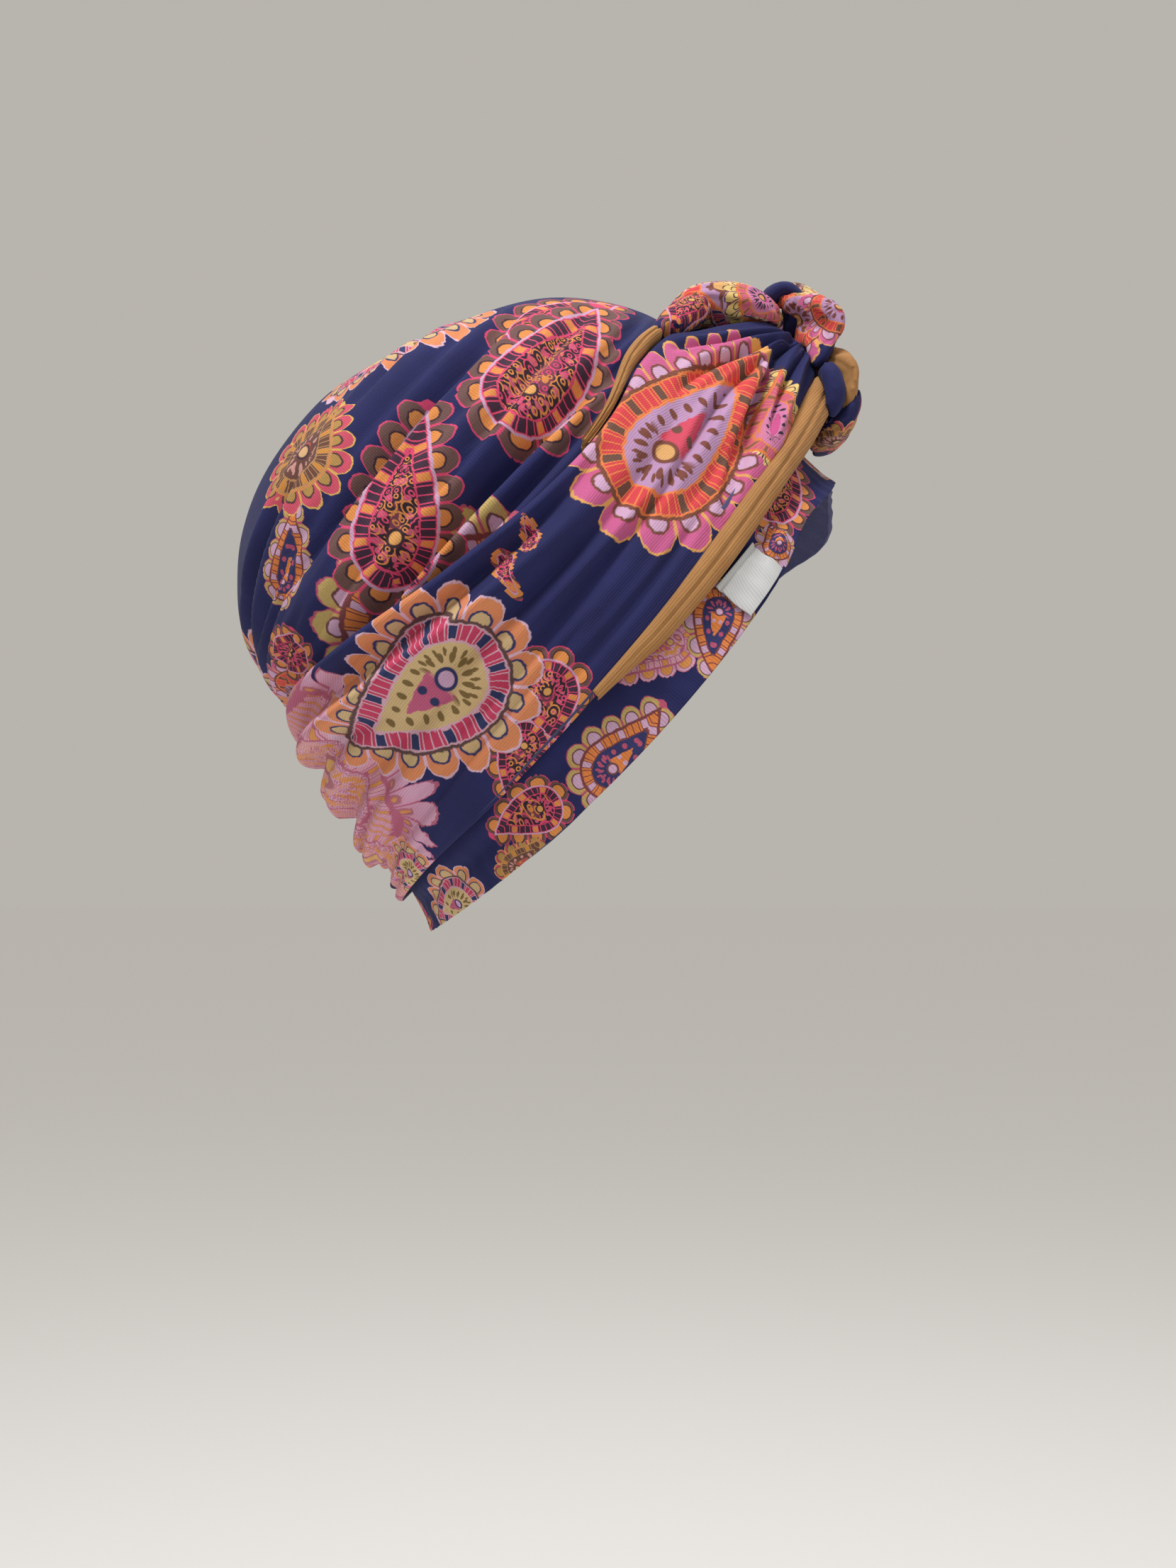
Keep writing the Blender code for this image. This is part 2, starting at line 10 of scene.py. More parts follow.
import bmesh
import bpy
import numpy as np
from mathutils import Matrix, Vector


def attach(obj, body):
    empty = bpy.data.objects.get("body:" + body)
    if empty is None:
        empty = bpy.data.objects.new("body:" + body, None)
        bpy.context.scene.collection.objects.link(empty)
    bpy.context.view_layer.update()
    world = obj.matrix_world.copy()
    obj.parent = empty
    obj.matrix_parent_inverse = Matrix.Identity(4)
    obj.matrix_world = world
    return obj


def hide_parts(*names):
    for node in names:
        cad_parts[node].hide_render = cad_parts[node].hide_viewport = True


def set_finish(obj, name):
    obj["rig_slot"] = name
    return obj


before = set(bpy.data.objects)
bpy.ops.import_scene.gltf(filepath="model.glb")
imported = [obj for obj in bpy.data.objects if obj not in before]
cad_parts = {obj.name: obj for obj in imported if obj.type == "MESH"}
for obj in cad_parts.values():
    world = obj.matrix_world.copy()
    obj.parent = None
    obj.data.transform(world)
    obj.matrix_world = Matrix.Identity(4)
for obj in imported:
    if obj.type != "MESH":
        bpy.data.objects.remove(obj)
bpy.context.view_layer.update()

# %% [markdown]
# ## Camera, floor and light
# The photograph looks straight at the wearer's right side, level with the hat and from close
# by, with a mild telephoto lens. A camera could be solved from marked points; a few numbers
# set one by one and compared with the photograph do as well.

# %% Camera
CAMERA_PLACE = (0.0102, -0.8, -0.1685)
CAMERA_LENS = 50.5
camera_data = bpy.data.cameras.new("photo_camera")
camera_data.lens = CAMERA_LENS
camera_data.clip_start = 0.05
camera = bpy.data.objects.new("photo_camera", camera_data)
camera.location = CAMERA_PLACE
camera.rotation_euler = (math.radians(90), 0, 0)
bpy.context.scene.collection.objects.link(camera)
bpy.context.scene.camera = camera
print("camera at", CAMERA_PLACE, "lens", CAMERA_LENS)

# %% [markdown]
# A pale floor far below the hat and a pale world make an even backdrop. A hard lamp would
# draw sharp shadows. A fairly small key from above shows the jersey's folds, a weak fill comes
# from the front, and a rim light parts the far side from the backdrop.

# %% Floor and lights
FLOOR_HEIGHT = -0.72
FLOOR_REACH = 9.0
FLOOR_ROUGHNESS = 0.9
STUDIO_PALE = (0.80, 0.765, 0.705)
FLOOR_PAINT = (0.99, 0.988, 0.985)   # nearly white, so that it meets the backdrop without a line
WORLD_STRENGTH = 0.60
bpy.context.scene.view_settings.view_transform = "Standard"


def plain_material(name, colour, roughness):
    material = bpy.data.materials.new(name)
    material.use_nodes = True
    shader = material.node_tree.nodes["Principled BSDF"]
    shader.inputs["Base Color"].default_value = (*colour, 1.0)
    shader.inputs["Roughness"].default_value = roughness
    return material


bpy.ops.mesh.primitive_plane_add(size=2 * FLOOR_REACH, location=(0, 0, FLOOR_HEIGHT))
floor = bpy.context.active_object
floor.name = "studio_floor"
floor.data.materials.append(plain_material("floor_paint", FLOOR_PAINT, FLOOR_ROUGHNESS))

LIGHTS = {
    # name: place, size, watts
    "key": ((-0.20, -0.50, 0.98), 0.34, 13.0),
    "fill": ((0.95, -0.9, 0.05), 1.4, 1.8),
    "rim": ((0.25, 0.8, 0.85), 0.9, 4.0),
}
AIM = Vector((0.0, 0.0, -0.1))
for name, (place, size, watts) in LIGHTS.items():
    lamp = bpy.data.lights.new(name + "_light", "AREA")
    lamp.size = size
    lamp.energy = watts
    holder = bpy.data.objects.new(name + "_light", lamp)
    holder.location = place
    holder.rotation_euler = (AIM - Vector(place)).to_track_quat("-Z", "Y").to_euler()
    bpy.context.scene.collection.objects.link(holder)

world = bpy.data.worlds.new("studio")
world.use_nodes = True
world.node_tree.nodes["Background"].inputs["Color"].default_value = (*STUDIO_PALE, 1.0)
world.node_tree.nodes["Background"].inputs["Strength"].default_value = WORLD_STRENGTH
bpy.context.scene.world = world
print("lights:", ", ".join(LIGHTS))

# %% [markdown]
# ## The hat's own frame
# A turban hat is easiest to describe around its own tilted axis. "turn" is the angle around
# the hat, 0 at the knot and positive towards the wearer's right; "way" runs from the brim's
# plane up to the middle of the crown; "stand" lifts a layer off the cap. The sizes and the
# tables of sections are those of the solids, so cloth made with them lies where they lie.

# %% Sizes
HAT_DEPTH = 0.158
HALF_LENGTH = 0.110
HALF_WIDTH = 0.078
BRIM_DIP = 0.0130
BRIM_TILT = 48.0
SEAT_BACK = 0.0263
SEAT_DROP = 0.1408
CAP_WALL = 0.0020
WRAP_WALL = 0.0024
HEM_WALL = 0.0030
NAPE_SEAM = 0.3
LAYER_GAP = 0.0008
PIECE_GAP = 0.0004
EDGE_GAP = 0.0008
WRAP_LOFT = 0.0100
FOLD_DEPTH = 0.0045
KNOT_REACH = 0.0300
KNOT_BREADTH = 0.0180
KNOT_ROLL = 0.0080
RIGHT, LEFT = 1.0, -1.0
CAP_WAY = 0.78 * (HAT_DEPTH + (HALF_LENGTH + HALF_WIDTH) / 2)
TURN_WAY = math.pi * (HALF_LENGTH + HALF_WIDTH) / 2 / 180    # metres in a degree of turn
BAND_TOP = 0.150
FOCUS_RISE = 0.28
DIP_RISE = 0.13

CAP_SECTIONS = (
    # way    rise   front   back    side
    (0, 0, 0.985, 0.98, 0.925),
    (0.071, 0.095, 0.99, 0.935, 0.962),
    (0.189, 0.253, 0.992, 0.868, 0.985),
    (0.307, 0.411, 1, 0.805, 0.99),
    (0.401, 0.538, 1.005, 0.772, 0.98),
    (0.494, 0.658, 0.935, 0.745, 0.935),
    (0.591, 0.772, 0.805, 0.68, 0.845),
    (0.691, 0.861, 0.605, 0.565, 0.71),
    (0.795, 0.93, 0.375, 0.43, 0.52),
    (0.886, 0.975, 0.185, 0.275, 0.31),
    (1, 1, 0.002, 0.018, 0.01),
)
BRIM_WAVES = (
    # turn, spread, drop
    (-27, 14, 0.75),
    (38, 12, -0.25),
    (-120, 16, 0.12),
)

# %% [markdown]
# Reading a table smoothly keeps the cloth free of kinks: between two rows the value follows
# a cubic curve whose slope at each row comes from its neighbours.

# %% Tables and the drape


def blend(rows, column, where):
    """Reads a column of a table smoothly at the given values of its first column."""
    table = sorted(rows)
    xs = np.array([row[0] for row in table], dtype=float)
    ys = np.array([row[column] for row in table], dtype=float)
    slopes = np.gradient(ys, xs)
    at = np.clip(np.asarray(where, dtype=float), xs[0], xs[-1])
    i = np.clip(np.searchsorted(xs, at, side="right") - 1, 0, len(xs) - 2)
    step = xs[i + 1] - xs[i]
    u = (at - xs[i]) / step
    left = (1 + 2 * u) * (1 - u) ** 2 * ys[i] + u * (1 - u) ** 2 * step * slopes[i]
    right = u * u * (3 - 2 * u) * ys[i + 1] + u * u * (u - 1) * step * slopes[i + 1]
    return left + right


def drape(turn, way, stand):
    """World places of points of a layer, from turns in degrees, ways and stands in metres."""
    turn, way, stand = np.broadcast_arrays(np.asarray(turn, float), np.asarray(way, float), stand)
    angle = np.radians(turn)
    rise = blend(CAP_SECTIONS, 1, way) * HAT_DEPTH
    front = blend(CAP_SECTIONS, 2, way) * HALF_LENGTH
    back = blend(CAP_SECTIONS, 3, way) * HALF_LENGTH
    side = blend(CAP_SECTIONS, 4, way) * HALF_WIDTH
    dip_fade = np.clip(1 - rise / (DIP_RISE * HAT_DEPTH), 0, 1) ** 2
    reach = (front + back) / 2 + (front - back) / 2 * np.cos(angle)
    forward = reach * np.cos(angle)
    sideways = -side * np.sin(angle)
    dip = np.sin(angle) ** 2
    for middle, spread, drop in BRIM_WAVES:
        dip = dip + drop * np.exp(-((turn - middle) / spread) ** 2)
    height = rise - BRIM_DIP * dip * dip_fade
    ray_rise = height - np.minimum(height, FOCUS_RISE * HAT_DEPTH)
    ray = np.stack([forward, sideways, ray_rise], axis=-1)
    ray = ray / np.linalg.norm(ray, axis=-1, keepdims=True)
    place = np.stack([forward, sideways, height], axis=-1) + ray * stand[..., None]
    tilt = math.radians(BRIM_TILT)
    x = SEAT_BACK + place[..., 0] * math.cos(tilt) - place[..., 2] * math.sin(tilt)
    z = -SEAT_DROP + place[..., 0] * math.sin(tilt) + place[..., 2] * math.cos(tilt)
    return np.stack([x, place[..., 1], z], axis=-1)


print("seat of the crown:", drape(0, 0.99, 0.0).round(4))

# %% [markdown]
# ## Folds
# Jersey that is pulled round a head gathers in long soft folds. Each row of a table is one
# fold along a curved line. A crease in cloth is narrow at its bottom, and the cloth swells
# beside it, so its profile here is a sharp valley between two low shoulders. Wide rows
# with a negative depth are soft bulges.

# %% Fold tables of the solids
CROWN_FOLDS = (
    # first  last   way    way    way    depth  half width
    (28, 128, 0.595, 0.575, 0.54, 1.3, 0.022),
    (30, 128, 0.372, 0.402, 0.385, 1.5, 0.018),
    (95, 174, 0.7, 0.635, 0.5, 0.9, 0.02),
    (62, 112, 0.5, 0.515, 0.47, 0.5, 0.02),
    (35, 165, 0.47, 0.482, 0.46, -1.1, 0.045),
    (30, 150, 0.69, 0.68, 0.64, -0.8, 0.06),
    (-128, -26, 0.55, 0.6, 0.59, 1.2, 0.022),
    (-140, -30, 0.395, 0.405, 0.372, 1.4, 0.018),
    (-165, -50, 0.47, 0.49, 0.47, -1, 0.045),
    (-172, -100, 0.52, 0.64, 0.69, 0.8, 0.02),
    (-105, -50, 0.48, 0.51, 0.5, 0.5, 0.02),
)
RIGHT_FOLDS = (
    # first last  place  place  place  depth  half width
    (122, 180, 0.62, 0.72, 0.78, 1.1, 0.06),
    (108, 180, 0.52, 0.5, 0.48, 1, 0.065),
    (114, 180, 0.26, 0.2, 0.16, 1, 0.06),
    (60, 178, 0.9, 0.87, 0.92, 1.2, 0.055),
    (56, 132, 0.48, 0.4, 0.33, 0.55, 0.06),
    (40, 118, 0.66, 0.62, 0.62, 0.5, 0.06),
    (8, 62, 0.3, 0.25, 0.3, 0.5, 0.07),
    (66, 178, 0.74, 0.76, 0.84, -0.9, 0.075),
)
LEFT_FOLDS = (
    # first last  place  place  place  depth  half width
    (120, 180, 0.64, 0.7, 0.8, 1.1, 0.06),
    (112, 180, 0.46, 0.5, 0.5, 1, 0.065),
    (116, 180, 0.22, 0.2, 0.18, 1, 0.06),
    (54, 178, 0.86, 0.88, 0.92, 1.1, 0.055),
    (46, 126, 0.36, 0.42, 0.38, 0.6, 0.06),
    (10, 70, 0.56, 0.52, 0.5, 0.5, 0.07),
    (70, 178, 0.72, 0.76, 0.84, -0.9, 0.075),
)

print("folds that the solids share:", len(CROWN_FOLDS), len(RIGHT_FOLDS), len(LEFT_FOLDS))

# %% [markdown]
# The solids show only the broad folds. The real jersey has many fine ones too: along the
# crown, at the nape where the wraps are gathered, and at the knot where they are pinched. A
# noise texture would look like crumpled paper, so these are drawn one by one as well.

# %% Fine folds, which only the cloth has
FINE_CROWN = (
    # first  last   way    way    way    depth  half width
    (22, 150, 0.372, 0.352, 0.404, 0.8, 0.011),
    (20, 96, 0.5, 0.468, 0.43, 0.7, 0.013),
    (24, 110, 0.64, 0.628, 0.6, 0.6, 0.015),
    (16, 84, 0.745, 0.715, 0.69, 0.6, 0.015),
    (40, 122, 0.545, 0.53, 0.505, 0.3, 0.009),
    (70, 150, 0.44, 0.452, 0.44, 0.4, 0.01),
    (88, 160, 0.6, 0.575, 0.52, 0.4, 0.011),
    (112, 176, 0.56, 0.52, 0.44, 0.45, 0.01),
    (124, 178, 0.48, 0.455, 0.41, 0.45, 0.009),
    (10, 60, 0.43, 0.412, 0.405, 0.5, 0.009),
    (-96, -20, 0.43, 0.47, 0.5, 0.45, 0.01),
    (-110, -24, 0.6, 0.63, 0.64, 0.35, 0.012),
    (-122, -40, 0.505, 0.53, 0.545, 0.3, 0.009),
    (-150, -70, 0.44, 0.452, 0.44, 0.4, 0.01),
    (-160, -88, 0.52, 0.575, 0.6, 0.4, 0.011),
    (-178, -112, 0.44, 0.52, 0.56, 0.45, 0.01),
)
FINE_WRAP = (
    # first last  place  place  place  depth  half width
    (128, 180, 0.9, 0.86, 0.88, 0.55, 0.028),
    (134, 180, 0.68, 0.66, 0.63, 0.6, 0.026),
    (126, 180, 0.43, 0.37, 0.33, 0.6, 0.028),
    (138, 180, 0.34, 0.27, 0.24, 0.45, 0.024),
    (130, 180, 0.12, 0.08, 0.07, 0.45, 0.028),
    (74, 150, 0.8, 0.8, 0.84, 0.4, 0.026),
    (84, 146, 0.3, 0.24, 0.2, 0.35, 0.034),
    (30, 92, 0.5, 0.47, 0.46, 0.28, 0.034),
    (48, 108, 0.2, 0.15, 0.14, 0.26, 0.034),
    (4, 54, 0.6, 0.29, 0.1, 1.5, 0.05),
    (4, 44, 0.3, 0.12, 0.02, -0.9, 0.06),
    (4, 50, 0.54, 0.5, 0.48, 0.6, 0.034),
    (4, 42, 0.6, 0.66, 0.72, 0.75, 0.036),
    (4, 34, 0.36, 0.22, 0.12, 0.6, 0.032),
    (4, 34, 0.72, 0.8, 0.9, 0.55, 0.03),
    (3, 22, 0.5, 0.56, 0.6, 0.5, 0.026),
)

print("fine folds:", len(FINE_CROWN), "in the crown,", len(FINE_WRAP), "in each wrap")

# %% [markdown]
# The tables become heights here. Creases add up and may run deep, but the cloth between two
# of them only rounds over, as real cloth does, so what stands up is held below a ceiling.

# %% Folding
FOLD_FADE = 0.7
FOLD_SCALE = 1.40         # creases in cloth run deeper than those of the solids
FOLD_CEILING = 0.0022     # and the cloth between two creases stands up only so far
SHOULDER = 0.34           # height of a crease's shoulders as a share of its depth
SHOULDER_PLACE = 1.75     # distance of a shoulder from the crease, in half widths
SHOULDER_SPREAD = 0.95


def crease(distance):
    """Profile of a crease: 1 at its bottom, below 0 on the shoulders beside it."""
    valley = np.exp(-np.abs(distance) ** 1.5)
    sides = np.exp(-((np.abs(distance) - SHOULDER_PLACE) / SHOULDER_SPREAD) ** 2)
    return valley - SHOULDER * sides


def fold_relief(folds, turn, place):
    """Adds up a table of folds: each a crease, or a bulge, along a curved line."""
    creases = np.zeros(np.broadcast(turn, place).shape)
    bulges = creases.copy()
    for first, last, at_first, halfway, at_last, depth, half_width in folds:
        u = (turn - first) / (last - first)
        line = at_first * (1 - u) * (1 - 2 * u) + 4 * halfway * u * (1 - u) + at_last * u * (2 * u - 1)
        open_end = 1.0 if abs(last) >= 180 else 0.0
        fade = np.sin(np.pi * np.clip(u, 0, 1) * (1 - 0.5 * open_end)) ** FOLD_FADE
        distance = (place - line) / half_width
        if depth > 0:
            creases -= depth * FOLD_DEPTH * FOLD_SCALE * fade * crease(distance)
        else:
            bulges -= depth * FOLD_DEPTH * fade * np.exp(-distance ** 2)
    rounded = FOLD_CEILING * np.tanh(creases / FOLD_CEILING)
    return bulges + np.where(creases > 0, rounded, creases)


def cap_stand(turn, way):
    """Stand of the cap's outer face: zero, with the crown's folds pressed into it."""
    return fold_relief(CROWN_FOLDS + FINE_CROWN, turn, way)


deepest = cap_stand(*np.meshgrid(np.arange(-180, 180, 2.0), np.arange(0.2, 0.98, 0.005))).min()
print(f"deepest crease of the crown: {-deepest * 1000:.1f} mm")

# %% [markdown]
# ## Cloth as a mesh
# Every draped piece starts as a grid of points: rows across the cloth, columns around the
# hat. The grid becomes faces, and each corner gets its place in the flat cloth in metres,
# which the knit's ribs follow however the cloth folds.

# %% Grids of cloth
WEAVE_MAP = "weave"
OUTER_FACES = "outer_faces"        # how many of a piece's faces, the first ones, are its right side


def grid_faces(rows, columns, ring=False, first=0):
    """Four-cornered faces of a grid, whose last column meets its first if it is a ring."""
    span = columns if ring else columns - 1
    r, c = np.meshgrid(np.arange(rows - 1), np.arange(span), indexing="ij")
    n = (c + 1) % columns
    corners = (r * columns + c, r * columns + n, (r + 1) * columns + n, (r + 1) * columns + c)
    return np.stack(corners, axis=-1).reshape(-1, 4) + first


def make_cloth(name, points, faces, flat):
    """A piece of cloth from points, faces and each point's place in the flat cloth."""
    mesh = bpy.data.meshes.new(name)
    mesh.from_pydata(points.tolist(), [], faces)
    work = bmesh.new()
    work.from_mesh(mesh)
    bmesh.ops.recalc_face_normals(work, faces=work.faces)
    work.to_mesh(mesh)
    work.free()
    mesh.shade_smooth()
    piece = bpy.data.objects.new(name, mesh)
    bpy.context.scene.collection.objects.link(piece)
    write_map(mesh, WEAVE_MAP, flat[corner_points(mesh)])
    return piece


def read(items, attribute, width=1, kind=float):
    """An attribute of all points, corners or faces of a mesh at once."""
    values = np.empty(len(items) * width, dtype=kind)
    items.foreach_get(attribute, values)
    return values.reshape(-1, width) if width > 1 else values


def corner_points(mesh):
    """The point of each corner of each face."""
    return read(mesh.loops, "vertex_index", kind=int)


def write_map(mesh, name, places):
    """Stores two numbers at each corner as a UV map."""
    layer = mesh.uv_layers.get(name) or mesh.uv_layers.new(name=name)
    layer.uv.foreach_set("vector", np.ascontiguousarray(places, dtype=np.float32).ravel())


def face_corners(mesh):
    """The first corner of each face, and the face of each corner."""
    starts = read(mesh.polygons, "loop_start", kind=int)
    totals = read(mesh.polygons, "loop_total", kind=int)
    return starts, np.repeat(np.arange(len(starts)), totals)


def write_round(mesh, places, length):
    """Stores the flat cloth of a piece that closes on itself: no face gets both ends of it."""
    starts, owner = face_corners(mesh)
    highest = np.maximum.reduceat(places[:, 0], starts)
    length = np.broadcast_to(length, owner.shape)
    far = highest[owner] - places[:, 0] > length / 2
    places[far, 0] += length[far]
    write_map(mesh, WEAVE_MAP, places)


def thicken(piece, wall):
    """Gives a sheet its wall on the side away from its face, and keeps the result."""
    solid = piece.modifiers.new("wall", "SOLIDIFY")
    solid.thickness = wall
    solid.offset = -1
    solid.use_rim = True
    apply_modifiers(piece)


def apply_modifiers(piece):
    graph = bpy.context.evaluated_depsgraph_get()
    made = bpy.data.meshes.new_from_object(piece.evaluated_get(graph), depsgraph=graph)
    piece.modifiers.clear()
    old = piece.data
    piece.data = made
    bpy.data.meshes.remove(old)
    made.shade_smooth()


CLOTH = {}          # every piece of cloth by name


def keep(piece, node, slot):
    """Puts a piece in place of a solid, on the hat's body, with its finish."""
    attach(piece, "root")
    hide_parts(node)
    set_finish(piece, slot)
    CLOTH[piece.name] = piece
    print(f"{piece.name}: {len(piece.data.polygons)} faces for {node}")
    return piece

# %% [markdown]
# ## Band and crown bag
# The cap is a doubled band against the head with a full bag sewn to its upper edge. Both are
# shells round the head's hollow: an outer face with the folds, and an inner face one wall
# inside it. The band's edge is a soft folded hem with small puckers, and it bunches up into
# a little knob where the label is sewn on.

# %% Band and crown
CAP_TURNS = 400
BAND_RINGS = 44
CROWN_RING_COUNT = 120
BAND_CLOSER = 1.3         # rings of the band lie closer towards its edge
CROWN_END = 0.985         # way of the crown's last ring, which a fan of faces closes
INNER_RELIEF = 0.8        # the inner face has this share of the outer one's folds
HEM_PUFF = 0.0010         # how far the folded edge swells
HEM_PUFF_WAY = 0.016
PUCKERS = 74              # small puckers round the band's edge
PUCKER_DEPTH = 0.00035
BAND_KNOBS = (
    # turn, way, spread in turn, spread in way, height
    (49.5, 0.018, 2.6, 0.014, 0.004),
    (45.5, 0.034, 2.4, 0.012, 0.0022),
    (68.5, 0.02, 2.2, 0.014, 0.0014),
)
BAND_FOLDS = (
    # first  last   way    way    way    depth  half width
    (36, 58, 0.05, 0.04, 0.046, 0.3, 0.008),
    (40, 56, 0.022, 0.03, 0.024, 0.32, 0.006),
    (60, 100, 0.048, 0.052, 0.056, 0.18, 0.01),
    (100, 172, 0.04, 0.036, 0.046, 0.25, 0.01),
    (-60, -8, 0.05, 0.058, 0.046, 0.3, 0.01),
    (-150, -50, 0.04, 0.046, 0.04, 0.22, 0.01),
)


def band_stand(turn, way):
    """The band's outer face: its puffed edge, puckers, creases and knobs."""
    edge = np.exp(-(way / HEM_PUFF_WAY) ** 2)
    sway = 1.4 * np.sin(np.radians(turn) * 5) + 0.9 * np.sin(np.radians(turn) * 11 + 1)
    pucker = np.sin(np.radians(turn) * PUCKERS + sway) * PUCKER_DEPTH
    stand = HEM_PUFF * edge + pucker * np.exp(-(way / 0.05) ** 2)
    stand = stand + fold_relief(BAND_FOLDS, turn, way)
    for at, level, wide, high, height in BAND_KNOBS:
        stand = stand + height * np.exp(-((turn - at) / wide) ** 2 - ((way - level) / high) ** 2)
    return stand


def cap_shell(name, ways, stand, wall, capped):
    """A shell round the head: outer and inner face, joined at the lower edge and on top."""
    rows = len(ways)
    turns = np.linspace(-180, 180, CAP_TURNS, endpoint=False)
    around, up = np.meshgrid(turns, ways)
    relief = stand(around, up)
    outer = drape(around, up, relief)
    inner = drape(around, up, relief * INNER_RELIEF - wall)
    points = np.concatenate([outer.reshape(-1, 3), inner.reshape(-1, 3)])
    flat = np.stack([around * TURN_WAY, up * CAP_WAY], axis=-1).reshape(-1, 2)
    count = rows * CAP_TURNS
    c = range(CAP_TURNS)
    n = [(i + 1) % CAP_TURNS for i in c]
    outside = grid_faces(rows, CAP_TURNS, True).tolist()
    inside = grid_faces(rows, CAP_TURNS, True, count)[:, ::-1].tolist()
    rims = [[i, j, j + count, i + count] for i, j in zip(c, n)]
    top = count - CAP_TURNS
    if capped:
        points = np.concatenate([points, [outer[-1].mean(axis=0), inner[-1].mean(axis=0)]])
        flat = np.concatenate([flat, flat, [[0.0, CAP_WAY], [0.0, CAP_WAY]]])
        outside += [[top + i, top + j, 2 * count] for i, j in zip(c, n)]
        inside += [[top + count + j, top + count + i, 2 * count + 1] for i, j in zip(c, n)]
    else:
        flat = np.concatenate([flat, flat])
        rims += [[top + i, top + j, top + j + count, top + i + count] for i, j in zip(c, n)]
    piece = make_cloth(name, points, outside + inside + rims, flat)
    piece[OUTER_FACES] = len(outside)
    write_round(piece.data, flat[corner_points(piece.data)], 360 * TURN_WAY)
    return piece


BAND_WAYS = BAND_TOP * np.linspace(0, 1, BAND_RINGS) ** BAND_CLOSER
CROWN_WAYS = np.linspace(BAND_TOP + PIECE_GAP / CAP_WAY, CROWN_END, CROWN_RING_COUNT)
keep(cap_shell("band_cloth", BAND_WAYS, band_stand, CAP_WALL, False), "brim_band", "printed_jersey")
keep(cap_shell("crown_cloth", CROWN_WAYS, cap_stand, CAP_WALL, True), "crown_bag", "printed_jersey")

# %% [markdown]
# ## Wraps, hems and edges
# The wraps are lined strips of jersey. Their long edges aren't cut: the cloth turns under in
# a soft roll, and the tan lining peeps out beside it. Each strip is a sheet with a section
# that curls under at both edges, swept from the nape to the knot, and then given its wall.

# %% Tables of the strips
WRAP_SECTIONS = (
    # turn  front   back    loft at front, middle, back
    (180, 0.07, 0.375, 0.52, 0.82, 0.42),
    (165, 0.072, 0.392, 0.48, 0.85, 0.6),
    (145, 0.072, 0.41, 0.42, 0.8, 0.8),
    (120, 0.062, 0.385, 0.38, 0.66, 0.95),
    (95, 0.06, 0.34, 0.36, 0.58, 0.98),
    (75, 0.064, 0.318, 0.36, 0.58, 0.9),
    (55, 0.078, 0.322, 0.38, 0.64, 0.85),
    (40, 0.092, 0.35, 0.5, 0.85, 0.85),
    (30, 0.104, 0.35, 0.72, 1.15, 0.95),
    (22, 0.116, 0.326, 1.05, 1.5, 1.15),
    (13, 0.132, 0.296, 1.7, 2.15, 1.75),
    (6, 0.145, 0.262, 2.45, 2.8, 2.55),
    (3, 0.152, 0.248, 2.7, 2.9, 2.75),
)
HEM_SECTIONS = (
    # turn  width   loft at free edge, crest, wrap's edge
    (94, 0.006, 0.4, 0.48, 0.42),
    (80, 0.013, 0.4, 0.58, 0.46),
    (62, 0.023, 0.42, 0.64, 0.5),
    (44, 0.03, 0.44, 0.76, 0.58),
    (30, 0.037, 0.64, 1, 0.84),
    (22, 0.042, 0.95, 1.35, 1.15),
    (14, 0.046, 1.4, 1.9, 1.72),
    (7, 0.05, 2.05, 2.52, 2.42),
)
STRIP_SECTIONS = (
    # turn  width   loft at wrap's edge, crest, free edge
    (62, 0.005, 0.6, 0.62, 0.54),
    (50, 0.016, 0.64, 0.74, 0.58),
    (40, 0.024, 0.72, 0.84, 0.62),
    (31, 0.022, 0.84, 0.92, 0.7),
)

print("the wraps are widest at", max(WRAP_SECTIONS, key=lambda row: row[2] - row[1])[0], "degrees")

# %% [markdown]
# A strip could be modelled flat and bent with a modifier, but then its edges wouldn't follow
# the head. Sweeping its section from the nape to the knot gives every point its turn and way,
# so the same folds, the cap below and the print all find it.

# %% Sweeping a strip
CURL_RADIUS = 0.0026      # of a turned edge, across the cloth
CURL_HEIGHT = 0.0066      # of a turned edge at most
TURN_UNDER = 0.0050       # cloth that lies flat under a turned edge
CURL_STEPS = 7
UNDER_STEPS = 3
JERSEY_WALL = 0.0014
FINER_IN_FRONT = 1.25
CURL_SHARE = 0.3          # a turned edge takes this share of a narrow strip at most
LEAST_CURL = 0.0005
HEM_GROOVE = 0.0009       # between the two rolls of a hem
GROOVE_PLACE, GROOVE_SPREAD = 0.46, 0.09
ROLL_HEIGHT = 0.0005
ROLL_END, ROLL_FADE = 94.0, 30.0     # turn where a hem's rolls have faded, and turns that it takes
HEM_TIP, HEM_TAPER = 97.0, 16.0      # turn where a hem comes to its tip, and turns that it takes
HEM_TUCK = 0.0013         # of a hem under its wrap's turned edge
HEM_LINING = 0.05         # the lining reaches down behind a hem, so that no light comes through


def lofts(table, turn, across):
    """Loft of a strip of cloth from its two edges and its middle, by a curve through all three."""
    low = blend(table, -3, turn)
    middle = blend(table, -2, turn)
    high = blend(table, -1, turn)
    curve = low * (1 - across) * (1 - 2 * across) + 4 * middle * across * (1 - across)
    return (curve + high * across * (2 * across - 1)) * WRAP_LOFT


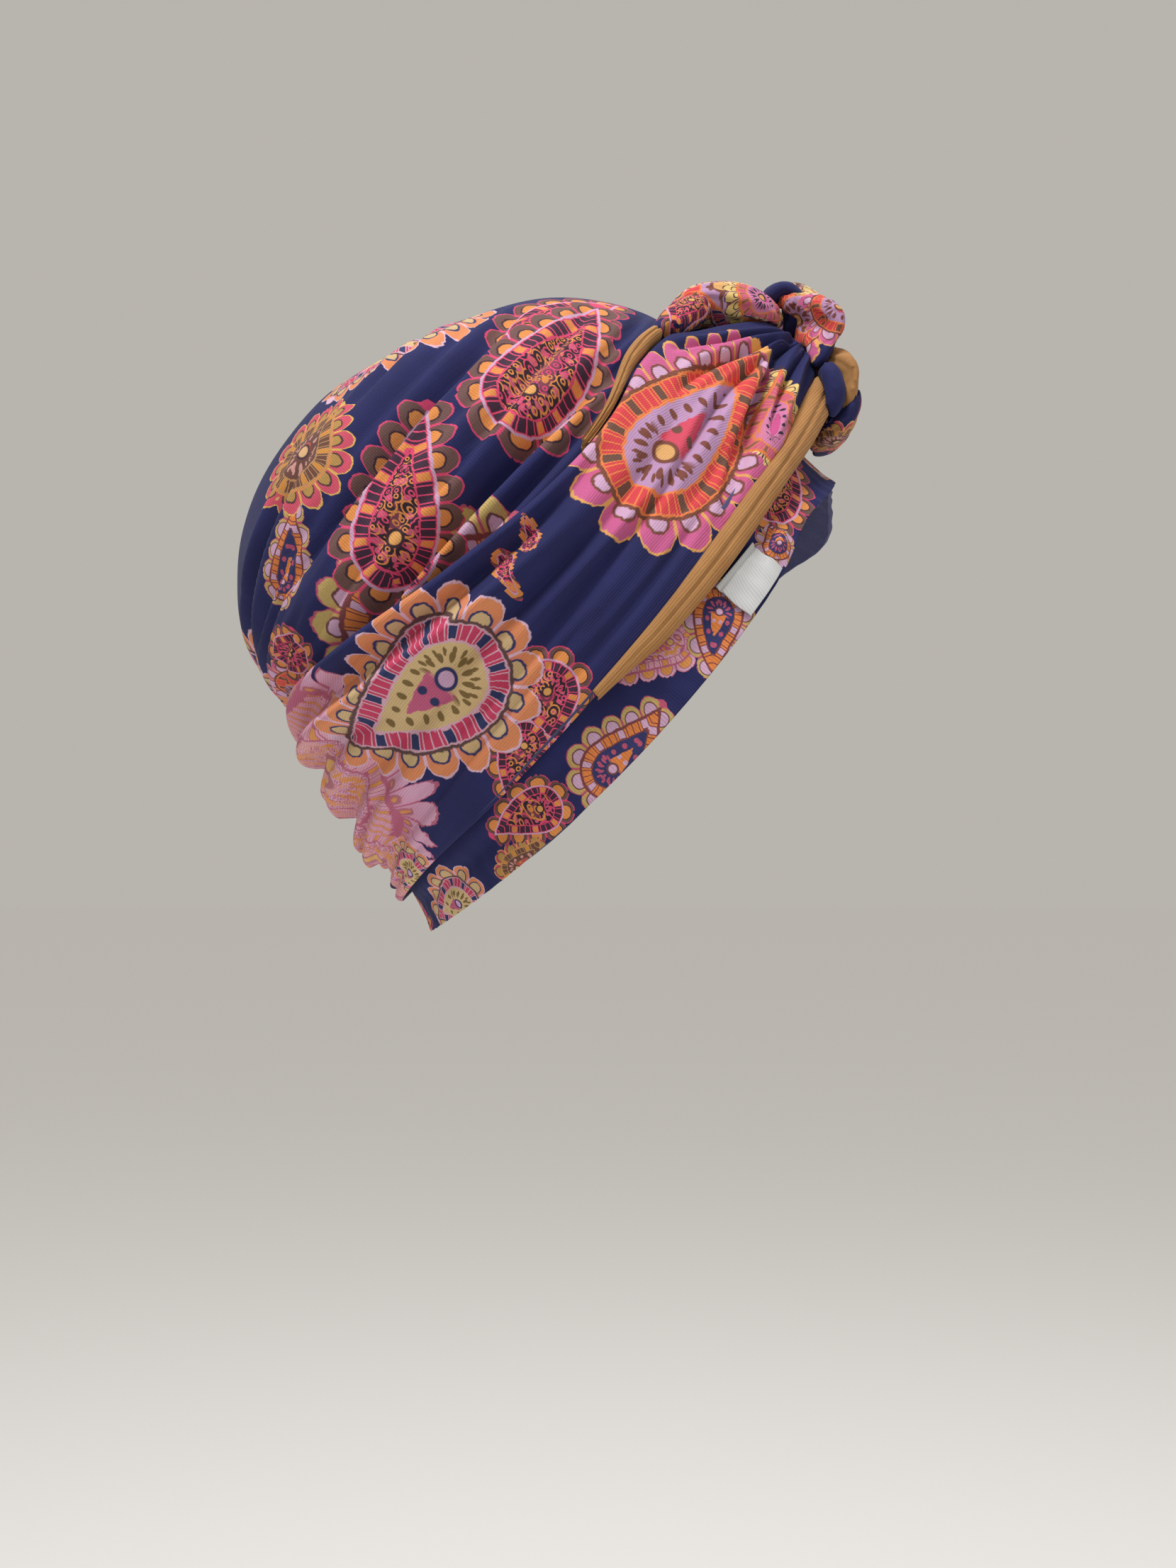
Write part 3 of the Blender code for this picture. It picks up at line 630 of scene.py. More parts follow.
def strip_edges(kind, sections, turn):
    """Ways of a strip's edge towards the brim and of its edge towards the crown."""
    if kind == "wrap":
        return blend(WRAP_SECTIONS, 1, turn), blend(WRAP_SECTIONS, 2, turn)
    seam = EDGE_GAP / CAP_WAY
    width = blend(sections, 1, turn)
    if kind == "hem":
        front = blend(WRAP_SECTIONS, 1, turn)
        low = front - seam - width * np.clip((HEM_TIP - turn) / HEM_TAPER, 0.2, 1)
        return low, front + HEM_TUCK / CAP_WAY
    back = blend(WRAP_SECTIONS, 2, turn) + seam
    return back, back + width


def hem_rolls(across):
    """A rolled hem has two soft rolls with a groove between them."""
    groove = np.exp(-((across - GROOVE_PLACE) / GROOVE_SPREAD) ** 2)
    return ROLL_HEIGHT * np.sin(np.pi * across) - HEM_GROOVE * groove


def strip_stand(kind, side, sections, folds, wall, turn, across, way):
    """Stand of a strip's face, never closer to the cap than its wall and its gap."""
    loft = lofts(sections, turn, across)
    if kind == "wrap":
        loft = loft + fold_relief(folds + FINE_WRAP, turn, across)
    else:
        loft = loft + hem_rolls(across) * np.clip((ROLL_END - turn) / ROLL_FADE, 0.2, 1)
    return np.maximum(loft, cap_stand(side * turn, way) + LAYER_GAP + wall)


def strip_piece(name, kind, side, sections, folds, columns, top_steps):
    """A strip swept round the hat: each column is a section with both edges turned under."""
    first, last = sections[0][0], sections[-1][0]
    if first >= 180:
        first -= NAPE_SEAM
    turns = last + (first - last) * np.linspace(1, 0, columns) ** FINER_IN_FRONT
    low, high = strip_edges(kind, sections, turns)
    width = (high - low) * CAP_WAY
    radius = np.minimum(CURL_RADIUS, CURL_SHARE * width)
    under_length = np.minimum(TURN_UNDER, CURL_SHARE * width)
    curl = np.radians(np.linspace(-90, 90, CURL_STEPS, endpoint=False))
    top = np.linspace(0, 1, top_steps)
    wall = WRAP_WALL if kind == "wrap" else HEM_WALL
    rows = []
    for edge in (0, 1):
        side_rows = []
        at_edge = radius / width if edge == 0 else 1 - radius / width
        way_edge = low + (high - low) * at_edge
        crest = strip_stand(kind, side, sections, folds, wall, turns, at_edge, way_edge)
        cap = cap_stand(side * turns, way_edge) + LAYER_GAP + JERSEY_WALL
        reach = HEM_LINING if kind == "hem" and edge == 1 else CURL_HEIGHT
        base = np.minimum(np.maximum(cap, crest - reach), crest - LEAST_CURL)
        for u in np.linspace(0, 1, UNDER_STEPS, endpoint=False):
            inward = under_length + (radius - under_length) * u
            side_rows.append((inward / width, base))
        for angle in curl:
            inward = radius * (1 - math.cos(angle))
            level = (crest + base) / 2 + (crest - base) / 2 * math.sin(angle)
            side_rows.append((inward / width, level))
        if edge == 0:
            rows += [(a, s) for a, s in side_rows]
            for t in top:
                across = (radius + (width - 2 * radius) * t) / width
                way = low + (high - low) * across
                rows.append((across, strip_stand(kind, side, sections, folds, wall, turns, across, way)))
        else:
            rows += [(1 - a, s) for a, s in reversed(side_rows)]
    across = np.array([row[0] for row in rows])
    stand = np.array([row[1] for row in rows])
    ways = low + (high - low) * across
    around = np.broadcast_to(side * turns, ways.shape)
    points = drape(around, ways, stand)
    steps = np.linalg.norm(np.diff(points, axis=0), axis=2)
    girth = np.concatenate([np.zeros((1, columns)), np.cumsum(steps, axis=0)])
    girth += (low * CAP_WAY)[None, :] - girth[UNDER_STEPS + CURL_STEPS][None, :]
    flat = np.stack([girth, around * TURN_WAY], axis=-1)
    faces = grid_faces(len(rows), columns).tolist()
    piece = make_cloth(name, points.reshape(-1, 3), faces, flat.reshape(-1, 2))
    face_outwards(piece.data)
    piece[OUTER_FACES] = len(faces)
    thicken(piece, JERSEY_WALL)
    return piece


MIDDLE_RISE = 0.35        # of the hat's middle, from the brim's plane towards the crown
HAT_MIDDLE = Vector((SEAT_BACK, 0, -SEAT_DROP)).lerp(Vector(drape(0, 0.99, 0.0)), MIDDLE_RISE)


def face_outwards(mesh):
    """Turns an open sheet's faces so that most of them look away from the head."""
    outward = read(mesh.polygons, "center", 3) - np.array(HAT_MIDDLE)
    facing = (read(mesh.polygons, "normal", 3) * outward).sum(axis=1)
    if (facing * read(mesh.polygons, "area")).sum() < 0:
        mesh.flip_normals()


STRIPS = {
    # kind: piece, solid, finish, sections, columns, steps across its top
    "wrap": ("wrap_cloth_", "wrap_", "printed_jersey", WRAP_SECTIONS, 300, 110),
    "hem": ("hem_roll_", "lining_hem_", "tan_lining", HEM_SECTIONS, 180, 26),
    "strip": ("edge_roll_", "lining_strip_", "tan_lining", STRIP_SECTIONS, 90, 20),
}
for word, side, folds in (("right", RIGHT, RIGHT_FOLDS), ("left", LEFT, LEFT_FOLDS)):
    for kind, (name, node, slot, sections, columns, steps) in STRIPS.items():
        piece = strip_piece(name + word, kind, side, sections, folds, columns, steps)
        keep(piece, node + word, slot)

# %% [markdown]
# ## The knot
# Over the forehead the two wraps pass through each other and turn back, which leaves a knot of
# rolls and loops. Each roll starts from its solid, which already lies clear of its neighbours.
# A voxel remesh gives it an even skin, smoothing rounds it where it is pressed, and pleats
# that run along it are pushed in: they are deep at its pinched ends and open up in its middle.

# %% Paths of the knot's rolls
PINCH = drape(0.0, 0.2183, 0.02848)      # where both wraps run together in front
KNOT_ROLLS = {
    "knot_core": (
        # along  side   up     thick  broad
        (-0.92, 0, -0.12, 0.7, 0.5),
        (-0.5, 0, -0.22, 1.15, 0.62),
        (-0.05, 0, -0.42, 1.25, 0.66),
        (0.25, 0, -0.74, 1.05, 0.62),
        (0.42, 0, -1.04, 0.6, 0.46),
    ),
    "knot_top_loop": (
        (-1.42, -0.55, 0.02, 0.6, 0.66),
        (-1.2, -0.3, 0.3, 0.94, 0.94),
        (-0.82, 0, 0.36, 1.16, 1.14),
        (-0.48, 0.25, 0.3, 1.1, 1.06),
        (-0.18, 0.42, 0.12, 0.88, 0.84),
    ),
    "knot_navy_arch": (
        (-0.27, 0.36, 0.26, 0.36, 0.48),
        (-0.26, 0.34, 0.51, 0.36, 0.54),
        (-0.1, 0.34, 0.63, 0.38, 0.58),
        (0.05, 0.4, 0.55, 0.42, 0.58),
        (0.08, 0.52, 0.3, 0.56, 0.56),
        (0.02, 0.6, 0.04, 0.52, 0.46),
    ),
    "knot_pink_loop": (
        (0.1, -0.45, 0.42, 0.36, 0.7),
        (0.25, -0.1, 0.34, 0.74, 1.1),
        (0.29, 0.25, 0.12, 0.86, 1.34),
        (0.26, 0.55, -0.14, 0.78, 1.05),
    ),
    "knot_tan_loop": (
        (0.32, -0.2, -0.18, 0.5, 0.8),
        (0.48, 0, -0.28, 0.72, 1.1),
        (0.55, 0.2, -0.44, 0.8, 1.26),
        (0.56, 0.45, -0.62, 0.7, 0.95),
    ),
    "knot_lower_loop": (
        (0.58, 0.45, -0.72, 0.68, 0.85),
        (0.58, 0.25, -0.9, 0.8, 1.1),
        (0.48, 0.05, -1.06, 0.74, 1.05),
        (0.3, -0.1, -1.16, 0.5, 0.75),
    ),
    "knot_side_roll": (
        (0.4, -0.62, -0.38, 0.42, 0.46),
        (0.46, -0.66, -0.74, 0.58, 0.58),
        (0.34, -0.5, -1.06, 0.44, 0.48),
    ),
    "knot_twist": (
        (-1.72, -2.25, -0.46, 0.5, 0.34),
        (-1.52, -1.8, -0.1, 0.66, 0.42),
        (-1.3, -1.3, 0.14, 0.66, 0.44),
        (-1.08, -0.98, 0.28, 0.5, 0.36),
    ),
}
KNOT_PLEATS = {
    # node: piece, pleats round it, depth in metres, twist in turns, finish
    "knot_core": ("knot_core_cloth", 9, 0.0008, 0.2, "printed_jersey"),
    "knot_top_loop": ("knot_dome_cloth", 11, 0.0011, 0.10, "printed_jersey"),
    "knot_navy_arch": ("knot_arch_cloth", 5, 0.0006, 0.30, "printed_jersey"),
    "knot_pink_loop": ("knot_pink_cloth", 9, 0.0010, 0.25, "printed_jersey"),
    "knot_tan_loop": ("knot_tan_cloth", 7, 0.0010, 0.20, "tan_lining"),
    "knot_lower_loop": ("knot_lower_cloth", 8, 0.0010, 0.20, "printed_jersey"),
    "knot_side_roll": ("knot_side_cloth", 6, 0.0008, 0.15, "printed_jersey"),
    "knot_twist": ("knot_twist_cloth", 5, 0.0009, 0.90, "printed_jersey"),
}

print("the wraps are pinched at", PINCH.round(4), "and the knot has", len(KNOT_ROLLS), "rolls")

# %% [markdown]
# Each roll starts as a copy of its solid, so it lies in the right place. A voxel remesh gives
# it an even skin, smoothing takes off its facets, and pleats that twist along its path are
# raised on it. The pleats are deepest at the ends, where the cloth is pulled in.

# %% Making a roll of cloth
ROLL_VOXEL = 0.00085
ROLL_SMOOTHING = 12
ROLL_SWELL = 0.0007       # smoothing shrinks a roll, and soft rolls press against each other
PATH_STEPS = 160
PLEAT_EDGE = 0.75         # below 1, the valleys between pleats are sharper than their crests
PLEAT_LEVEL = 0.75        # share of a pleat's depth that lies at the roll's own skin
PLEAT_AT_MIDDLE = 0.55    # depth of the pleats at a roll's middle as a share of their depth


def roll_path(rows):
    """Points, directions and half sizes along a roll."""
    table = [(float(i), *row) for i, row in enumerate(rows)]
    at = np.linspace(0, len(rows) - 1, PATH_STEPS)
    along, side, up = (blend(table, c, at) for c in (1, 2, 3))
    path = np.stack([
        PINCH[0] + along * KNOT_REACH,
        PINCH[1] + side * KNOT_BREADTH,
        PINCH[2] + up * KNOT_REACH], axis=-1)
    ahead = np.gradient(path, axis=0)
    ahead /= np.linalg.norm(ahead, axis=1, keepdims=True)
    sideways = np.array([0.0, 1.0, 0.0]) - ahead * ahead[:, 1:2]
    sideways /= np.linalg.norm(sideways, axis=1, keepdims=True)
    outward = np.cross(ahead, sideways)
    thick = blend(table, 4, at) * KNOT_ROLL
    broad = blend(table, 5, at) * KNOT_BREADTH
    return path, ahead, sideways, outward, thick, broad


def roll_places(points, rows):
    """Where points lie on a roll: share of its length, angle round it, and length in metres."""
    path, ahead, sideways, outward, thick, broad = roll_path(rows)
    gaps = np.linalg.norm(points[:, None, :] - path[None, :, :], axis=2)
    near = gaps.argmin(axis=1)
    offset = points - path[near]
    across = (offset * sideways[near]).sum(axis=1) / broad[near]
    over = (offset * outward[near]).sum(axis=1) / thick[near]
    steps = np.linalg.norm(np.diff(path, axis=0), axis=1)
    lengths = np.concatenate([[0.0], np.cumsum(steps)])
    beyond = (offset * ahead[near]).sum(axis=1)
    return near / (PATH_STEPS - 1), np.arctan2(over, across), lengths[near] + beyond


def roll_cloth(node, rows, look):
    """A roll of cloth in place of a solid of the knot."""
    name, pleats, depth, twist, slot = look
    piece = bpy.data.objects.new(name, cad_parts[node].data.copy())
    piece.data.materials.clear()
    bpy.context.scene.collection.objects.link(piece)
    skin = piece.modifiers.new("even_skin", "REMESH")
    skin.mode = "VOXEL"
    skin.voxel_size = ROLL_VOXEL
    skin.use_smooth_shade = True
    relax = piece.modifiers.new("relax", "SMOOTH")
    relax.factor = 0.5
    relax.iterations = ROLL_SMOOTHING
    apply_modifiers(piece)
    mesh = piece.data
    points = read(mesh.vertices, "co", 3)
    along, angle, metres = roll_places(points, rows)
    wobble = 0.7 * np.sin(along * 9 + angle * 2) + 0.4 * np.sin(along * 17 - angle * 3)
    phase = pleats * angle + twist * 2 * np.pi * along * pleats / 3 + wobble
    ridge = np.abs(np.sin(phase / 2)) ** PLEAT_EDGE
    envelope = PLEAT_AT_MIDDLE + (1 - PLEAT_AT_MIDDLE) * np.abs(2 * along - 1) ** 1.5
    lift = ROLL_SWELL + depth * envelope * (ridge - PLEAT_LEVEL)
    moved = points + read(mesh.vertices, "normal", 3) * lift[:, None]
    mesh.vertices.foreach_set("co", moved.ravel())
    mesh.update()
    broad = [(i, row[4] * KNOT_BREADTH) for i, row in enumerate(rows)]
    girth = blend(broad, 1, along * (len(rows) - 1))
    flat = np.stack([angle * girth, metres], axis=-1)
    index = corner_points(mesh)
    write_round(mesh, flat[index], 2 * np.pi * girth[index])
    return keep(piece, node, slot)


for node, rows in KNOT_ROLLS.items():
    roll_cloth(node, rows, KNOT_PLEATS[node])

# %% [markdown]
# ## Label
# A folded white satin ribbon is sewn over the band's edge in front of the ear. It is bare. Its
# loop folds round the edge, its long sides are woven selvedges with fine teeth, and a shallow
# dent runs along the stitches that hold it.

# %% Ribbon
LABEL_TURNS = (53.5, 65.5)
LABEL_WAYS = (0.003, 0.043)
LABEL_STAND = 0.0022
LABEL_WALL = 0.0007
LABEL_STEPS = 60
TOOTH = 0.012             # how much wider the ribbon is at its teeth, as a share
LABEL_ARCH = 0.0009       # the ribbon stands up along its middle
LABEL_DENT = 0.0006       # along the stitches
LABEL_WAVE = 0.0004
TEETH = 34


def label_ribbon():
    """The ribbon over the band's edge: a sheet with a rounded fold and toothed sides."""
    low, high = LABEL_WAYS
    u = np.linspace(0, 1, LABEL_STEPS)[:, None]
    v = np.linspace(0, 1, LABEL_STEPS)[None, :]
    tooth = TOOTH * np.abs(np.sin(np.pi * TEETH * u))
    spread = 0.5 + (v - 0.5) * (1 + tooth)
    turns = LABEL_TURNS[0] + (LABEL_TURNS[1] - LABEL_TURNS[0]) * spread
    ways = low + (high - low) * u + 0 * v
    lift = LABEL_STAND + LABEL_ARCH * np.sin(np.pi * v) * (1 - 0.5 * u)
    lift = lift - LABEL_DENT * np.exp(-((u - 0.86) / 0.05) ** 2)
    lift = lift + LABEL_WAVE * np.sin(2.2 * np.pi * u + 2 * v)
    lift = lift + np.maximum(0, band_stand(turns, ways)) * 0.5
    points = drape(turns, ways, lift)
    flat = np.stack([turns * TURN_WAY, ways * CAP_WAY], axis=-1)
    piece = make_cloth("label_ribbon", points.reshape(-1, 3),
                       grid_faces(LABEL_STEPS, LABEL_STEPS), flat.reshape(-1, 2))
    face_outwards(piece.data)
    thicken(piece, LABEL_WALL)
    return piece


keep(label_ribbon(), "label", "label_ribbon")

# %% [markdown]
# ## What each sheet was cut to
# Cloth keeps its area when it is folded or gathered, so each sheet's size before it was sewn
# and tied is written down. The photograph doesn't show these sizes: each is an estimate, set
# after measuring how much cloth the piece has here. The crown is cut with rounded corners. A
# roll of the knot counts with the cloth that shows on it.

# %% Cut sizes
CUTS = {
    # piece (* is right and left): width, length, area if not a rectangle, how held, lies on
    "band_cloth": (0.046, 0.56, None, "stretched", ["crown_cloth"]),
    "crown_cloth": (0.17, 0.58, 0.080, "gathered", ["band_cloth"]),
    "wrap_cloth_*": (0.095, 0.30, None, "folded", ["crown_cloth", "band_cloth"]),
    "hem_roll_*": (0.018, 0.175, None, "folded", ["band_cloth"]),
    "edge_roll_*": (0.010, 0.11, None, "folded", ["crown_cloth"]),
    "knot_core_cloth": (0.035, 0.040, None, "gathered", ["wrap_cloth_right", "wrap_cloth_left"]),
    "knot_dome_cloth": (0.045, 0.045, None, "gathered", ["knot_core_cloth"]),
    "knot_arch_cloth": (0.018, 0.035, None, "gathered", ["knot_dome_cloth"]),
    "knot_pink_cloth": (0.035, 0.040, None, "gathered", ["knot_core_cloth"]),
    "knot_tan_cloth": (0.028, 0.035, None, "gathered", ["knot_core_cloth"]),
    "knot_lower_cloth": (0.026, 0.033, None, "gathered", ["knot_core_cloth"]),
    "knot_side_cloth": (0.015, 0.020, None, "gathered", ["knot_core_cloth"]),
    "knot_twist_cloth": (0.018, 0.030, None, "gathered", ["crown_cloth", "knot_dome_cloth"]),
    "label_ribbon": (0.018, 0.019, None, "folded", ["band_cloth"]),
}
for pieces, (width, length, cut_area, held, under) in CUTS.items():
    for word in ("right", "left") if "*" in pieces else ("",):
        piece = CLOTH[pieces.replace("*", word)]
    print(f"{pieces}: cut to {width * 1000:.0f} x {length * 1000:.0f} mm, {held}")

# %% [markdown]
# ## Laying out the print
# The jersey is printed with large paisleys on navy. A paisley is a drop with a round end, an
# eye near it and a drawn-out, bent tip, framed by rows of petals, beads and drops that keep
# their width all round. So each motif gets two maps on the cloth: how far along and beyond
# its outline a point lies, for the rows, and where it lies from the eye, for the middle. The
# whole part of each number carries the motif's colours and its number of petals. One pair of
# maps holds the motifs below, another those that overlap them.

# %% The motifs
GROUND, ROSE, ORANGE, PLUM, RED, OLIVE, PALE, YELLOW, REVERSE = range(9)
UNDER, OVER = 0, 1
MOTIFS = {
    "wrap_cloth_right": (
        # eye's turn, way, tip's turn, way, round end, half width, bend, petals, colours, layer
        (53, 0.228, 10.5, 0.217, 0.025, 0.0228, 0.1, 10, ROSE, OVER),
        (110.5, 0.24, 141, 0.25, 0.0215, 0.0215, -0.25, 9, ORANGE, OVER),
        (33, 0.122, 9, 0.165, 0.0095, 0.009, 0.2, 9, YELLOW, OVER),
        (99.5, 0.108, 106, 0.062, 0.0105, 0.0105, 0.3, 5, PLUM, UNDER),
        (109, 0.082, 120, 0.075, 0.0085, 0.008, 0.3, 5, PLUM, UNDER),
        (82.5, 0.272, 78, 0.3, 0.003, 0.003, 0.4, 3, PLUM, OVER),
        (88, 0.286, 92.5, 0.262, 0.0034, 0.0034, 0.4, 3, PLUM, OVER),
        (154, 0.285, 134, 0.345, 0.033, 0.032, 0.3, 23, PALE, UNDER),
        (168, 0.155, 180, 0.12, 0.027, 0.025, 0.3, 19, PALE, UNDER),
        (152, 0.09, 160, 0.075, 0.009, 0.0085, 0.3, 6, ORANGE, OVER),
    ),
    "wrap_cloth_left": (
        (50, 0.215, 11, 0.212, 0.024, 0.0215, -0.12, 10, ORANGE, OVER),
        (106, 0.225, 144, 0.245, 0.0225, 0.021, 0.25, 9, ROSE, OVER),
        (32, 0.128, 9, 0.17, 0.0085, 0.0085, -0.2, 7, OLIVE, UNDER),
        (82, 0.108, 66, 0.098, 0.01, 0.0095, -0.3, 5, PLUM, UNDER),
        (92, 0.3, 82, 0.312, 0.006, 0.0055, 0.3, 4, RED, UNDER),
        (156, 0.285, 136, 0.345, 0.033, 0.032, 0.3, 23, PALE, UNDER),
        (167, 0.155, 180, 0.12, 0.027, 0.025, 0.3, 19, PALE, UNDER),
    ),
    "crown_cloth": (
        (60, 0.44, 24, 0.45, 0.0165, 0.0165, 0.15, 8, PLUM, OVER),
        (40, 0.52, 12, 0.5, 0.015, 0.014, -0.2, 7, PLUM, UNDER),
        (98, 0.438, 74, 0.575, 0.0185, 0.015, -0.15, 8, PLUM, OVER),
        (110, 0.352, 82, 0.3, 0.023, 0.02, 0.1, 9, OLIVE, UNDER),
        (101, 0.708, 84, 0.73, 0.016, 0.0165, 0, 8, RED, OVER),
        (127, 0.545, 107, 0.6, 0.0068, 0.0062, 0.2, 5, OLIVE, UNDER),
        (139, 0.452, 132, 0.47, 0.008, 0.008, 0.2, 5, PLUM, OVER),
        (152, 0.405, 140, 0.385, 0.012, 0.01, 0.3, 6, ROSE, UNDER),
        (180, 0.52, 176, 0.6, 0.021, 0.019, 0.25, 9, ORANGE, OVER),
        (-148, 0.62, -136, 0.7, 0.017, 0.016, 0.3, 8, PLUM, OVER),
        (-162, 0.43, -150, 0.42, 0.01, 0.01, 0.2, 6, ROSE, UNDER),
        (-100, 0.43, -76, 0.56, 0.019, 0.0155, 0.2, 8, RED, OVER),
        (-58, 0.44, -24, 0.45, 0.017, 0.0165, -0.15, 8, PLUM, OVER),
        (-44, 0.6, -22, 0.56, 0.013, 0.012, 0.2, 7, OLIVE, UNDER),
        (-96, 0.72, -120, 0.78, 0.018, 0.0165, -0.2, 9, ROSE, OVER),
        (30, 0.74, 70, 0.86, 0.019, 0.0175, 0.25, 9, ORANGE, OVER),
        (-6, 0.6, 8, 0.7, 0.012, 0.011, 0.3, 6, PLUM, UNDER),
        (-20, 0.8, -60, 0.88, 0.011, 0.01, 0.3, 6, RED, UNDER),
        (-126, 0.52, -118, 0.47, 0.008, 0.008, 0.2, 5, OLIVE, UNDER),
    ),
    "band_cloth": (
        (40, 0.06, 20, 0.066, 0.012, 0.011, 0.2, 7, PLUM, OVER),
        (50.5, 0.022, 46, 0.04, 0.006, 0.006, 0.2, 4, OLIVE, OVER),
        (68, 0.026, 80, 0.004, 0.0085, 0.0085, 0.2, 5, OLIVE, OVER),
        (79, 0.046, 88, 0.06, 0.0075, 0.0075, 0.2, 5, PALE, UNDER),
        (101, 0.008, 88, -0.01, 0.011, 0.0105, 0.2, 6, OLIVE, OVER),
        (116, 0.03, 126, 0.046, 0.008, 0.008, 0.2, 5, PLUM, UNDER),
        (148, 0.012, 160, 0.03, 0.0105, 0.01, 0.2, 6, ORANGE, OVER),
        (128, 0, 120, -0.01, 0.006, 0.006, 0.2, 5, RED, UNDER),
        (-28, 0.03, -12, 0.05, 0.013, 0.011, 0.2, 7, RED, OVER),
        (-62, 0.03, -80, 0.02, 0.011, 0.01, 0.2, 6, OLIVE, OVER),
        (-104, 0.03, -120, 0.04, 0.011, 0.01, 0.2, 6, ROSE, OVER),
        (-148, 0.026, -164, 0.03, 0.011, 0.01, 0.2, 6, ORANGE, OVER),
        (178, 0.03, 170, 0.03, 0.009, 0.009, 0.2, 5, PLUM, UNDER),
        (6, 0.06, -4, 0.09, 0.0085, 0.0085, 0.2, 5, OLIVE, UNDER),
    ),
}
KNOT_MOTIFS = {
    "knot_dome_cloth": (
        # eye's share along, angle, tip's share, angle, round end, half width, bend, petals ...
        (0.62, 158, 0.98, 165, 0.01, 0.0096, 0.1, 11, YELLOW, OVER),
        (0.34, 150, 0.02, 150, 0.021, 0.02, 0.1, 8, ROSE, UNDER),
        (0.4, 75, 0.02, 80, 0.013, 0.0125, 0.1, 8, ORANGE, OVER),
        (0.62, 20, 0.95, 10, 0.015, 0.014, 0.1, 8, ROSE, OVER),
        (0.52, 205, 0.92, 205, 0.015, 0.014, 0.1, 9, ORANGE, UNDER),
    ),
    "knot_pink_cloth": (
        (0.16, 150, 0.6, 120, 0.0105, 0.01, 0.2, 7, ROSE, OVER),
        (0.55, 90, 0.95, 100, 0.013, 0.012, 0.2, 8, YELLOW, OVER),
        (0.3, 30, 0.75, 30, 0.015, 0.013, 0.2, 8, RED, UNDER),
        (0.3, -90, 0.75, -90, 0.015, 0.013, 0.2, 8, ROSE, UNDER),
        (0.85, -20, 0.6, 0, 0.013, 0.012, 0.2, 7, ORANGE, OVER),
    ),
    "knot_twist_cloth": (
        (0.62, 160, 0.2, 150, 0.0085, 0.0075, 0.3, 6, PLUM, OVER),
    ),
    "knot_lower_cloth": (
        (0.8, 100, 0.45, 100, 0.0095, 0.0085, 0.3, 6, RED, OVER),
        (0.35, 90, 0.7, 90, 0.013, 0.011, 0.3, 6, PLUM, UNDER),
        (0.4, -90, 0.75, -90, 0.011, 0.0095, 0.3, 6, ROSE, UNDER),
    ),
    "knot_core_cloth": (
        (0.5, 150, 0.9, 150, 0.011, 0.01, 0.3, 6, ROSE, OVER),
    ),
}
MOTIF_MAPS = (("print_rows_under", "print_eye_under"), ("print_rows_over", "print_eye_over"))

for place, table in (("hat", MOTIFS), ("knot", KNOT_MOTIFS)):
    print("motifs on the", place, sum(len(rows) for rows in table.values()))

# %% [markdown]
# A flat picture projected on the hat would smear where the cloth turns away. Each motif is
# measured on the cloth itself instead: from its eye, along the surface, in its own direction.

# %% Mapping a motif
COLOUR_STEP = 2           # a map's first number: colours times this, plus the share of the outline
PETAL_STEP = 10           # its second number: petals times this, plus the distance beyond it
FAR = 4.0                 # distance that is surely ground, in units of the round end
MOTIF_EDGE = 0.62         # a motif's outermost distance beyond its outline
MOTIF_REACH = 1.3         # how far from its eye cloth is looked at, in lengths of the motif
FACING_AWAY = -0.15       # cloth that faces further away from the eye's direction is left out
EYE_PATCH = 0.006         # cloth round a motif's eye that sets which way it faces
MEAN_STAND = 0.006        # stand at which a motif's place on a draped layer is looked up


def drop_outline(length, width):
    """Half of a drop's outline, from its round end to its tip, in units of the round end."""
    quarter = np.linspace(np.pi, np.pi / 2, 20)
    u = np.linspace(0, 1, 44)[1:]
    x = np.concatenate([np.cos(quarter), length * u])
    y = np.concatenate([width * np.sin(quarter), width * (1 - u ** 1.7) ** 1.15])
    return np.stack([x, y], axis=-1)


def beyond_outline(places, line):
    """Share of the outline at its point nearest to each place, and the distance beyond it."""
    starts, steps = line[:-1], np.diff(line, axis=0)
    length = np.linalg.norm(steps, axis=1)
    reached = np.concatenate([[0.0], np.cumsum(length)])
    folded = np.stack([places[:, 0], np.abs(places[:, 1])], axis=-1)
    offset = folded[:, None, :] - starts[None, :, :]
    t = np.clip((offset * steps).sum(axis=2) / (length ** 2), 0, 1)
    gap = np.linalg.norm(offset - t[..., None] * steps, axis=2)
    best = gap.argmin(axis=1)
    rows = np.arange(len(places))
    share = (reached[best] + t[rows, best] * length[best]) / reached[-1]
    height = np.interp(folded[:, 0], line[:, 0], line[:, 1], left=-1, right=-1)
    within = folded[:, 1] < height
    return share, np.where(within, -gap[rows, best], gap[rows, best])


def motif_frame(points, normals, eye, tip, inside):
    """A motif's eye on the cloth, the directions along, across and off it, and its length."""
    outer = (normals * (points - inside)).sum(axis=1) > 0
    centre = points[np.where(outer, np.linalg.norm(points - eye, axis=1), 1).argmin()]
    end = points[np.where(outer, np.linalg.norm(points - tip, axis=1), 1).argmin()]
    near = outer & (np.linalg.norm(points - centre, axis=1) < EYE_PATCH)
    facing = normals[near].mean(axis=0)
    facing /= np.linalg.norm(facing)
    ahead = end - centre
    reach = np.linalg.norm(ahead)
    ahead = ahead - facing * ahead.dot(facing)
    ahead /= np.linalg.norm(ahead)
    return centre, ahead, np.cross(facing, ahead), facing, reach


